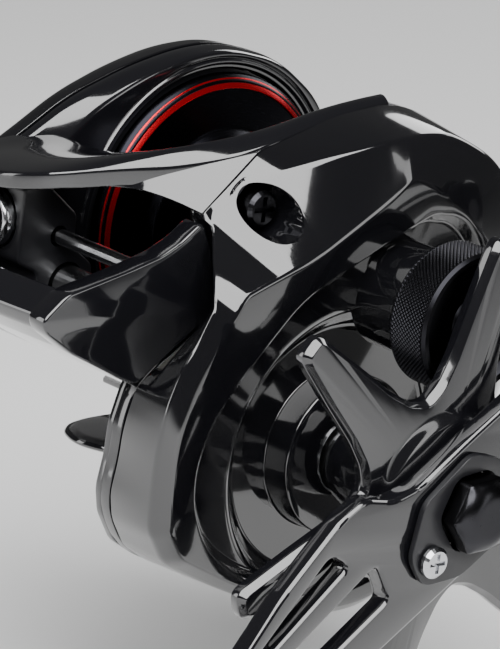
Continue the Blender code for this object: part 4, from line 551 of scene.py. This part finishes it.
# cheek: the sloping panel between the hood's edge, the line mouth and the parting line
CHEEK_TOP = [(5.4, -35.2, 11.6), (8.2, -30.0, 12.4), (10.2, -26.2, 12.8), (12.0, -22.0, 13.9),
             (14.35, -16.8, 15.5)]
CHEEK_LOW = [(5.8, -34.6, 10.9), (8.8, -29.6, 10.9), (10.6, -27.6, 10.6), (12.4, -25.9, 10.0),
             (14.35, -24.0, 9.1)]
top_run, low_run = run_of(CHEEK_TOP, 90, 1.5), run_of(CHEEK_LOW, 90, 1.5)
inward = np.array([-1.4, 1.1, -0.2])    # from the cheek's face to its back
cheek_rows = np.stack([low_run, top_run, top_run + inward, low_run + inward])
cheek_grid = fillet(cheek_rows, 0.18, 4, True)
cheek_ends = [np.broadcast_to(cheek_grid[:, end].mean(0), (len(cheek_grid), 1, 3))
              for end in (0, -1)]
cheek = lay("frame_cheek", np.concatenate([cheek_ends[0], cheek_grid, cheek_ends[1]], 1),
            True, False, 28.0)
show(cheek, "painted_black", "frame")

JAW_SIDE = [(-24.4, 8.4), (-27.0, 6.4), (-29.8, 5.0), (-34.0, 3.8), (-38.5, 2.7), (-42.3, 1.8),
            (-45.4, -0.8), (-44.8, -2.3), (-40.8, -5.0), (-33.4, -8.5), (-31.2, -9.3),
            (-21.3, -2.2), (-22.4, 4.8)]
jaw = extruded("frame_jaw_side", [JAW_SIDE], 12.4, 15.2, 0.3, 0.8)
show(jaw, "painted_black", "frame", ["gear_access_plate"])

BAR = [(-42.3, 1.85), (-45.55, -0.8), (-44.9, -2.4), (-40.8, -5.1), (-33.3, -8.7),
       (-12.0, -18.5), (-11.4, -17.5), (-29.4, -8.0), (-38.8, -3.4), (-41.0, -0.9)]


def bar_section(x, shrink=0.0):
    """The front bar's (y, z) section at x. Its nose, ahead of y = -30, bows back by (x / 14)^2
    and is drawn in by the share shrink."""
    line = fillet(np.array(BAR, float), 0.45, 5)
    bow = 1.0 * (x / 14.0) ** 2
    middle = np.array([-42.0, -1.5])
    near = np.clip((-30.0 - line[:, :1]) / 12.0, 0, 1)
    line = line + (middle - line) * shrink * near + np.array([bow, 0.0]) * near
    return np.concatenate([np.full((len(line), 1), x), line], 1)


stations = [(-14.2, 0.12), (-13.6, 0.0)] + [(x, 0.0) for x in np.linspace(-12, 10, 12)] \
    + [(12.6, 0.0), (14.2, 0.03)]
bar = stack("frame_front_bar", [bar_section(x, s) for x, s in stations], 0.3, 24.0)
show(bar, "painted_black", "frame")

bridge = extruded("frame_rear_bridge", [[(11.5, -18.5), (19.2, -12.4), (21.6, -7.6),
                                         (20.1, -6.9), (17.9, -11.4), (10.6, -17.7)]],
                  FRAME_IN, FRAME_OUT, 0.3, 1.2)
show(bridge, "painted_black", "frame")
base = extruded("frame_base", [[(-12.4, -18.9), (-12.4, -17.35), (12.4, -17.35),
                                (12.4, -18.9)]], FRAME_IN, FRAME_OUT, 0.15, 0.3)
show(base, "painted_black", "frame")

# palm-side wall with the spool's bore, two light rings turned on its edge
PALM_OUTLINE = [(1.0, 19.9), (-5.0, 19.5), (-12.0, 17.8), (-20.0, 14.8), (-27.0, 10.4),
                (-36.0, 5.6), (-42.4, 1.8), (-45.0, -1.2), (-40.8, -5.3), (-30.0, -10.4),
                (-18.0, -15.6), (-6.0, -19.4), (4.0, -19.6), (12.0, -16.6), (18.2, -9.6),
                (20.6, -1.0), (19.6, 6.6), (15.6, 13.2), (9.0, 18.0)]
PALM_INNER = [(1.0, 19.9), (-5.0, 19.5), (-12.0, 17.4), (-18.5, 13.9), (-22.6, 10.2),
              (-25.0, 4.0), (-27.5, -4.0), (-30.0, -10.0), (-18.0, -15.6), (-6.0, -19.4),
              (4.0, -19.6), (12.0, -16.6), (18.2, -9.6), (20.6, -1.0), (19.6, 6.6),
              (15.6, 13.2), (9.0, 18.0)]


def palm_ring(outline, x, inset=0.0):
    """A (y, z) outline as a ring at depth x, drawn in by inset."""
    ring = ring_about([(y, z, x) for y, z in outline], SPOOL, COARSE)
    return moved_in(ring, SPOOL, inset, x)


def palm_circle(radius, x):
    """A circle about the spool's axis, with as many points as palm_ring gives."""
    return circle_seen_from(SPOOL, radius, SPOOL, COARSE, x)


palm_rows = [palm_circle(17.5, PALM_OUT), palm_ring(PALM_OUTLINE, PALM_OUT, 0.1),
             palm_ring(PALM_OUTLINE, -13.0), palm_ring(PALM_INNER, PALM_IN, 0.3),
             palm_circle(18.9, PALM_IN), palm_circle(18.65, PALM_IN - 0.35),
             palm_circle(18.4, PALM_IN), palm_circle(18.1, PALM_IN),
             palm_circle(17.85, PALM_IN - 0.35), palm_circle(17.5, PALM_IN - 0.35)]
palm_wall = lay("frame_palm_wall", fillet(palm_rows, [0.1, 0.3, 0.6, 0.5, 0.08, 0.08, 0.08,
                                                      0.08, 0.08, 0.1], 4, True),
                True, True, 28.0)
show(palm_wall, "painted_black", "frame")

PALM_CREASE = [(1.0, 18.4), (-6.0, 17.8), (-14.0, 14.9), (-22.6, 9.4), (-30.0, 4.2),
               (-37.0, -0.2), (-38.4, -2.2), (-33.0, -5.6), (-22.0, -10.4), (-8.0, -16.6),
               (3.0, -17.6), (11.0, -14.4), (16.6, -8.0), (18.6, -0.6), (17.6, 6.4),
               (13.6, 12.2), (8.0, 16.6)]
palm_shell_rows = [
    palm_ring(PALM_OUTLINE, PALM_COVER_IN, 1.3), palm_ring(PALM_OUTLINE, PALM_COVER_IN),
    palm_ring(PALM_OUTLINE, -17.0, 0.2), palm_ring(PALM_CREASE, -19.9),
    palm_ring(PALM_CREASE, -21.5, 2.2), palm_circle(9.6, -22.05), palm_circle(8.9, -21.5),
    palm_circle(3.3, -21.5), palm_circle(3.3, -20.7), palm_circle(10.0, -20.7),
    palm_ring(PALM_CREASE, -19.2, 2.6), palm_ring(PALM_OUTLINE, -16.6, 1.8)]
palm_shell = lay("palm_cover_shell", fillet(palm_shell_rows, [0.1, 0.2, 3.0, 2.5, 1.5, 0.4, 0.4,
                                                              0.1, 0.1, 0.5, 1.0, 0.5], 7, True),
                 True, True, 26.0)
show(palm_shell, "cover_black", "frame", ["palm_side_cover"])

# the dial's rim is scalloped: its radius drops by 0.28 mm at the peaks of cos(24 a)
DIAL_RING = 360
dial_angle = np.linspace(0, 2 * math.pi, DIAL_RING, endpoint=False)
dial_profile = fillet(np.array([(-24.6, 0.0), (-24.6, 7.2), (-23.9, 8.0), (-22.45, 8.0),
                                (-22.45, 3.0), (-20.2, 3.0), (-20.2, 0.0)]), 0.25, 5, False)
scallop = 0.28 * (0.5 + 0.5 * np.cos(24 * dial_angle)) ** 3
on_rim = np.clip((dial_profile[:, 1:] - 7.2) / 0.8, 0, 1)
dial_radius = dial_profile[:, 1:] - scallop[None] * on_rim
dial_grid = np.stack([np.repeat(dial_profile[:, :1], DIAL_RING, 1),
                      dial_radius * np.cos(dial_angle), dial_radius * np.sin(dial_angle)], -1)
show(lay("brake_dial_face", dial_grid, False, True, 30.0), "satin_black", "dial",
     ["brake_dial"])

# ---------------------------------------------------------------- spool
spool_profile = [(-11.6, 1.3), (-11.6, 8.4), (-10.9, 9.2), (-10.9, 15.4), (-11.6, 15.9),
                 (-11.6, 17.0), (-10.7, 17.0), (-9.9, 16.2), (-9.2, 10.9), (-8.4, 10.0),
                 (8.4, 10.0), (9.2, 10.9), (9.9, 16.2), (10.7, 17.0), (11.6, 17.0),
                 (11.6, 15.9), (10.9, 15.4), (10.9, 9.2), (11.6, 8.4), (11.6, 1.3)]
spool = turned("spool_turned", spool_profile, SPOOL, 0.3, 192, True, 28.0)
show(spool, "spool_black", "spool_body", ["spool"])
for side in (-1, 1):
    accent = turned(f"spool_accent_{'palm' if side < 0 else 'gear'}",
                    [(side * 9.55, 15.55), (side * 10.25, 16.6), (side * 10.42, 16.62),
                     (side * 9.7, 15.4)], SPOOL, 0.08, 192, True, 28.0)
    show(accent, "red_anodised", "spool_body")

# ---------------------------------------------------------------- cast control cap
def knurled(name, x_in, x_out, radius, teeth, depth, edge):
    """A sleeve whose radius is R - d max(1 - 2 tri(u), 1 - 2 tri(v), 0). The phases u and v
    wind opposite ways, so their grooves cross and leave diamonds, and the depth fades to
    nothing at both edges, which are chamfered."""
    rows, columns = 150, teeth * 10
    x = np.linspace(x_in, x_out, rows)[:, None]
    at = np.linspace(0, 2 * math.pi, columns, endpoint=False)[None]
    lead = teeth * (x - x_in) / (2 * math.pi * radius)

    def tri(turns):
        return np.abs((turns % 1.0) * 2 - 1)

    u, v = at * teeth / (2 * math.pi) + lead, at * teeth / (2 * math.pi) - lead
    inside = np.clip(np.minimum(x - x_in - edge, x_out - edge - x) / 0.25, 0, 1)
    chamfer = 0.3
    r = radius - depth * inside * np.maximum(1 - 2 * tri(u), 1 - 2 * tri(v)).clip(0)
    r = r - np.clip(1 - (x - x_in) / edge, 0, 1) * chamfer \
        - np.clip(1 - (x_out - x) / edge, 0, 1) * chamfer
    grid = np.stack([np.repeat(x, columns, 1), r * np.cos(at), r * np.sin(at)], -1)

    def ring(depth_x, size):
        one = np.array([np.full(columns, depth_x), size * np.cos(at[0]), size * np.sin(at[0])])
        return one.T[None]

    close = [ring(x_out - 0.1, radius - 0.9), ring(x_out - 0.9, radius - 1.4),
             ring(x_out - 0.9, 3.2), ring(x_out - 0.5, 2.8), ring(x_out - 0.5, 0.0)]
    start = [ring(x_in + 3.5, 0.0), ring(x_in + 3.5, 6.5), ring(x_in, 6.5)]
    return lay(name, np.concatenate(start + [grid] + close), False, True, 32.0)


cap = knurled("cast_control_knurl", 28.9, 34.6, 8.2, 96, 0.16, 0.35)
show(cap, "knurled_black", "cast_cap", ["cast_control_cap"])

# ---------------------------------------------------------------- star
def star_ring(scale_in, x):
    """The star's edge at even angles: arm and web corners rounded, drawn in by a margin."""
    rows = []
    for arm in range(6):
        middle = FIRST_ARM + 60.0 * arm
        for radius, turn in ((11.6, -30.0), (12.8, -20.5), (15.8, -13.2), (21.0, -8.0),
                             (28.2, -3.7), (29.0, -2.3), (29.0, 2.3), (28.2, 3.7),
                             (21.0, 8.0), (15.8, 13.2), (12.8, 20.5)):
            rows.append(polar(MAIN, radius, middle + turn) + (x,))
    ring = ring_about(rows, MAIN, STAR_RING, 0.9)
    away = ring[:, 1:] - np.array(MAIN)
    size = np.linalg.norm(away, axis=1)
    ahead = np.roll(ring[:, 1:], -1, 0) - np.roll(ring[:, 1:], 1, 0)
    normal = np.stack([ahead[:, 1], -ahead[:, 0]], 1)
    normal /= np.linalg.norm(normal, axis=1, keepdims=True)
    out = ring.copy()
    out[:, 1:] = ring[:, 1:] - normal * scale_in
    low = np.linalg.norm(out[:, 1:] - np.array(MAIN), axis=1)
    out[:, 1:] = np.where((low > size)[:, None], ring[:, 1:], out[:, 1:])
    return out


def ring_of_radius(radius, x, count=STAR_RING):
    """A circle about the handle's axis."""
    return circle_seen_from(MAIN, radius, MAIN, count, x)


star_rows = [star_ring(0.0, 35.15), star_ring(0.0, 36.2), star_ring(0.6, 37.05),
             ring_of_radius(9.6, 37.2), ring_of_radius(8.6, 37.75), ring_of_radius(6.2, 38.05),
             ring_of_radius(3.0, 38.05), ring_of_radius(3.0, 23.75), ring_of_radius(5.0, 23.75),
             ring_of_radius(5.6, 26.0), ring_of_radius(6.6, 33.6), ring_of_radius(9.4, 34.95)]
star = lay("star_wheel", fillet(star_rows, [0.1, 0.12, 0.12, 0.5, 0.4, 0.3, 0.1, 0.1, 0.3, 0.5,
                                            0.6, 0.4], 4, True), True, True, 26.0)
show(star, "painted_black", "star", ["star_drag"])

# ---------------------------------------------------------------- handle
HANDLE_IN, HANDLE_OUT = 38.45, 41.05
RETAINER_SCREW, RETAINER_HOLE = handle_point(7.4, 0.8), 1.2
# (along, across) of one half of the arm, from the hub out round the knob's end and back
HANDLE_HALF = [(4.0, -6.8), (39.0, -5.2)]
HANDLE_HALF += [polar((KNOB_REACH, 0.0), 5.2, turn) for turn in range(-72, 73, 18)]
HANDLE_HALF += [(39.0, 5.2), (24.75, 9.6), (14.5, 11.5), (10.6, 11.2), (7.6, 8.2), (4.0, 7.0)]
WINDOWS = ([(13.4, -1.6), (36.0, -1.6), (37.0, 0.6), (34.0, 2.4), (13.0, 3.2)],
           [(16.0, 6.0), (33.0, 4.6), (31.0, 5.8), (17.4, 8.8)])
arm_line = [handle_point(a, -o) for a, o in HANDLE_HALF]
arm_line += [handle_point(-a, o) for a, o in HANDLE_HALF]
holes = [[handle_point(s * a, -s * o) for a, o in window] for s in (1, -1)
         for window in WINDOWS]
arm = extruded("handle_plate", [arm_line] + holes, HANDLE_IN, HANDLE_OUT, 0.55, 1.1, 7)
arm = bored(arm, *[turned(f"handle_cut_{i}", [(30.0, 0.0), (30.0, r), (50.0, r), (50.0, 0.0)],
                          c, 0.0, 48)
                   for i, (c, r) in enumerate(((MAIN, 2.9), (handle_point(KNOB_REACH, 0.0), 2.1),
                                               (handle_point(-KNOB_REACH, 0.0), 2.1),
                                               (RETAINER_SCREW, RETAINER_HOLE)))])
show(arm, "painted_black", "crank", ["handle_arm"])

NUT_IN, NUT_OUT = 41.35, 45.35


def hexagon(flats):
    """Corners of a hexagon lying along the handle, flats from its middle to a side."""
    radius = flats / math.cos(math.pi / 6)
    turn = math.degrees(HANDLE_ANGLE)
    return [polar(MAIN, radius, turn + 30 + 60 * k) for k in range(6)]


def hex_ring(flats, x):
    """The hexagon at depth x, its corners rounded by 0.35 mm."""
    return ring_about([(y, z, x, 0.35) for y, z in hexagon(flats)], MAIN, NUT_RING, 0.35)


nut_rows = [ring_of_radius(0.0, NUT_IN + 0.05, NUT_RING), hex_ring(3.7, NUT_IN + 0.05),
            hex_ring(4.0, NUT_IN + 0.3), hex_ring(4.0, 44.0),
            ring_of_radius(3.75, 44.65, NUT_RING), ring_of_radius(2.6, NUT_OUT, NUT_RING),
            ring_of_radius(0.0, NUT_OUT - 0.1, NUT_RING)]
nut = lay("handle_nut_turned", fillet(nut_rows, [0.1, 0.2, 0.2, 0.25, 0.5, 0.8, 0.1], 5, False),
          False, True, 24.0)
show(nut, "dark_steel", "crank", ["handle_nut"])
RETAINER = [handle_point(a, o) for a, o in
            ((9.6, -1.2), (9.6, 2.8), (5.0, 5.6), (-3.0, 6.0), (-6.0, 2.6), (-6.0, -2.6),
             (-3.0, -6.0), (5.0, -5.6))]
plate = extruded("nut_retainer_plate", [RETAINER, hexagon(4.3)], NUT_IN, NUT_IN + 0.8, 0.15,
                 1.2, 5)
plate = bored(plate, turned("retainer_cut", [(40.0, 0.0), (40.0, RETAINER_HOLE),
                                             (43.0, RETAINER_HOLE), (43.0, 0.0)],
                            RETAINER_SCREW, 0.0, 40))
show(plate, "satin_black", "crank", ["nut_retainer"])

for label, side in (("front", 1), ("rear", -1)):
    centre = handle_point(side * KNOB_REACH, 0.0)
    grip_profile = [(62.5, 3.6), (64.25, 3.7), (64.25, 6.9), (62.6, 8.5), (58.0, 8.5),
                    (50.5, 5.3), (45.0, 5.3), (42.3, 6.2), (42.25, 5.2), (42.25, 2.1),
                    (60.0, 2.1)]
    show(turned(f"knob_grip_{label}_turned", grip_profile, centre, 1.1, 128, True),
         "rubber", f"{label}_knob", [f"knob_grip_{label}"])
    cap_profile = [(63.0, 0.0), (63.0, 3.3), (64.4, 3.3), (64.75, 2.9), (64.6, 0.0)]
    show(turned(f"knob_cap_{label}_turned", cap_profile, centre, 0.25, 96),
         "red_anodised", f"{label}_knob", [f"knob_cap_{label}"])

# ---------------------------------------------------------------- line guide
EYE = (-6.0, 4.3)                       # (x, z) of the eyelet's middle
SIDE = [(-35.6, 8.6), (-35.6, 0.0), (-32.6, -1.4), (-32.2, -4.6), (-30.2, -6.4),
        (-26.4, -6.4), (-24.6, -4.6), (-24.6, -1.0), (-27.6, 1.2), (-27.6, 5.0), (-32.0, 8.6)]


def along_y(name, profile, x, z, soft=0.15, steps=96, closed=True):
    """A profile of (y, radius) turned about the line along Y at (x, z)."""
    line = fillet(np.array(profile, float), soft, 6, closed)
    at = np.linspace(0, 2 * math.pi, steps, endpoint=False)
    grid = np.stack([x + line[:, 1:] * np.cos(at), np.repeat(line[:, :1], steps, 1),
                     z + line[:, 1:] * np.sin(at)], -1)
    return lay(name, grid, closed, True, 34.0)


carriage = extruded("carriage_moulded", [SIDE], -10.4, -1.6, 0.35, 0.7, 5)
carriage = bored(carriage,
                 turned("worm_cut", [(-20, 0.0), (-20, 2.5), (5, 2.5), (5, 0.0)], WORM, 0.0, 48),
                 turned("rod_cut", [(-20, 0.0), (-20, 1.2), (5, 1.2), (5, 0.0)], ROD, 0.0, 40),
                 along_y("eye_cut", [(-45, 0.0), (-45, 3.6), (-34.2, 3.6), (-34.2, 2.5),
                                     (-20, 2.5), (-20, 0.0)], *EYE, 0.0, 64, False))
show(carriage, "satin_black", "carriage", ["line_guide_carriage"])
ring = along_y("eyelet_turned", [(-37.2, 3.1), (-36.9, 2.6), (-34.5, 2.6), (-34.5, 3.4),
                                 (-36.8, 3.4)], *EYE, 0.3, 128)
show(ring, "steel", "carriage", ["eyelet_ring"])

# ---------------------------------------------------------------- foot and thumb bar
FOOT = [(-5.6, -20.4), (-4.3, -24.4), (0.0, -26.0), (4.3, -24.4), (5.6, -20.4), (5.6, 24.4),
        (4.3, 28.4), (0.0, 30.0), (-4.3, 28.4), (-5.6, 24.4)]


def foot_ring(shrink, z, height=AXIS):
    """The blade's plan at even steps along it; both ends are thinner than the middle."""
    line = fillet(np.array(FOOT, float), 3.0, 12)
    line = line * np.array([1 - shrink, 1 - shrink * 0.35])
    return np.stack([line[:, 0], line[:, 1], np.full(len(line), z - height)], 1)


foot_rows = [foot_ring(0.06, 0.0), foot_ring(0.0, 0.4), foot_ring(0.04, 1.05),
             foot_ring(0.12, 1.3)]
foot = stack("reel_foot_blade", foot_rows, 0.3, 40.0)


def upright(name, radius, bottom, top, y):
    """A cylinder standing at (0, y)."""
    at = np.linspace(0, 2 * math.pi, 48, endpoint=False)
    rows = [np.stack([r * np.cos(at), y + r * np.sin(at), np.full(48, z - AXIS)], 1)
            for r, z in ((0.0, bottom), (radius, bottom), (radius, top), (0.0, top))]
    return lay(name, np.array(rows), False, True)


FOOT_SCREWS, SCREW_HOLE = (-8.0, 8.0), 1.5
foot = bored(foot, *[upright(f"foot_sink_{i}_{y}", r, -1.0, top, y) for y in FOOT_SCREWS
                     for i, (r, top) in enumerate(((2.2, 1.0), (SCREW_HOLE, 3.0)))])
show(foot, "painted_black", "frame", ["reel_foot"])
pad_plan = [(-4.6, -12.0), (4.6, -12.0), (4.6, 12.0), (-4.6, 12.0)]
pad_rows = []
for inset, z in ((0.0, 1.2), (0.0, 2.0), (0.4, 2.3)):
    line = fillet(np.array(pad_plan), 1.6, 8) * np.array([1 - inset / 4.6, 1 - inset / 12.0])
    pad_rows.append(np.stack([line[:, 0], line[:, 1], np.full(len(line), z - AXIS)], 1))
pad = bored(stack("reel_foot_pad", pad_rows, 0.25, 40.0),
            *[upright(f"pad_hole_{y}", SCREW_HOLE, 1.0, 3.0, y) for y in FOOT_SCREWS])
show(pad, "painted_black", "frame")

BAR_SIDE = [(18.3, -3.6), (18.6, 1.8), (20.6, 3.6), (24.4, 2.6), (25.0, 0.6), (23.4, -3.6)]


def thumb_ring(x):
    """The thumb bar's section, a little lower towards the middle for the thumb."""
    line = fillet(np.array(BAR_SIDE), 1.3, 8)
    dip = 0.7 * max(0.0, 1 - (x / 9.0) ** 2) * np.clip(line[:, 1:] / 3.6, 0, 1)
    return np.concatenate([np.full((len(line), 1), x), line[:, :1], line[:, 1:] - dip], 1)


thumb_rows = [thumb_ring(x) for x in (-10.8, -10.4, -9, -7, -5, -3, -1, 1, 3, 5, 7, 9, 11.1,
                                      11.5)]
show(stack("thumb_bar_pad", thumb_rows, 0.3, 34.0), "satin_black", "thumb", ["thumb_bar"])
tongue_plan = extruded("thumb_bar_tongue", [[(17.3, -3.2), (17.9, -3.2), (17.9, -1.8),
                                             (17.3, -1.8)]], 10.9, 13.7, 0.05, 0.05)
show(tongue_plan, "dark_steel", "thumb")
link = extruded("thumb_bar_link", [[(17.3, -3.2), (19.1, -3.2), (19.1, -1.85),
                                    (17.3, -1.85)]], 10.9, 11.45, 0.05, 0.05)
show(link, "dark_steel", "thumb")

# ---------------------------------------------------------------- frame pieces kept from CAD
SLOT_OF = {row["node"]: row["material_slot"] for row in frame["record"]["subparts"]}
KEPT_AS = {"cover_screw": "dark_steel"}
for node, piece in frame["nodes"].items():
    if piece.hide_render:
        continue
    piece.data.materials.clear()
    piece.data.materials.append(FINISH[KEPT_AS.get(node, SLOT_OF[node])])

# ---------------------------------------------------------------- camera, floor and lights
view = bpy.data.cameras.new("view")
view.lens = 290.66
view.sensor_fit = "VERTICAL"
view.sensor_height = 36.0
view.clip_start = 0.05
camera = bpy.data.objects.new("view", view)
bpy.context.scene.collection.objects.link(camera)
right = Vector((0.65527, 0.74610, 0.11817))
up = Vector((-0.27587, 0.09073, 0.95690))
back = Vector((0.70322, -0.65963, 0.26528))
turn = Matrix((right, up, back)).transposed().to_4x4()
camera.matrix_world = Matrix.Translation(Vector((418.707, -394.151, 169.767)) * MM) @ turn
bpy.context.scene.camera = camera
bpy.context.scene.render.resolution_x = 500
bpy.context.scene.render.resolution_y = 649

floor_mesh = bpy.data.meshes.new("floor")
floor_mesh.from_pydata([(-3, -3, 0), (3, -3, 0), (3, 3, 0), (-3, 3, 0)], [], [(0, 1, 2, 3)])
floor = bpy.data.objects.new("floor", floor_mesh)
floor.location.z = -0.034
bpy.context.scene.collection.objects.link(floor)
pale = bpy.data.materials.new("pale_floor")
pale.use_nodes = True
pale.node_tree.nodes["Principled BSDF"].inputs["Base Color"].default_value = linear("f2f2f2")
pale.node_tree.nodes["Principled BSDF"].inputs["Roughness"].default_value = 0.7
floor_mesh.materials.append(pale)


def softbox(name, direction, distance, size, power, aim=(0, -0.005, 0.015)):
    """A rectangular lamp shining at aim from a direction, out of the camera's sight. Sizes and
    distance are in metres, power in watts."""
    lamp = bpy.data.lights.new(name, "AREA")
    lamp.shape = "RECTANGLE"
    lamp.size, lamp.size_y = size
    lamp.energy = power
    item = bpy.data.objects.new(name, lamp)
    away = Vector(direction).normalized()
    item.location = Vector(aim) + away * distance
    item.rotation_euler = away.to_track_quat("Z", "Y").to_euler()
    bpy.context.scene.collection.objects.link(item)
    item.visible_camera = False
    return item


softbox("key", (0.448, -0.423, 0.787), 0.45, (0.46, 0.46), 6.0)
softbox("left", (-0.55, -0.83, 0.1), 0.5, (0.16, 0.4), 0.8)
softbox("right", (0.9, 0.42, 0.1), 0.7, (0.12, 0.5), 0.6)
softbox("behind", (-0.2, 0.9, 0.5), 0.6, (0.5, 0.25), 1.5)

world = bpy.data.worlds.new("studio")
bpy.context.scene.world = world
world.use_nodes = True
tree = world.node_tree
tree.nodes.clear()
ray = add(tree, "ShaderNodeLightPath")
WHITE = (1, 1, 1, 1)
shown = add(tree, "ShaderNodeBackground", Color=WHITE, Strength=1.0)
lit = add(tree, "ShaderNodeBackground", Color=WHITE, Strength=0.07)
both = add(tree, "ShaderNodeMixShader", Fac=ray.outputs["Is Camera Ray"],
           i1=lit.outputs[0], i2=shown.outputs[0])
add(tree, "ShaderNodeOutputWorld", Surface=both.outputs[0])
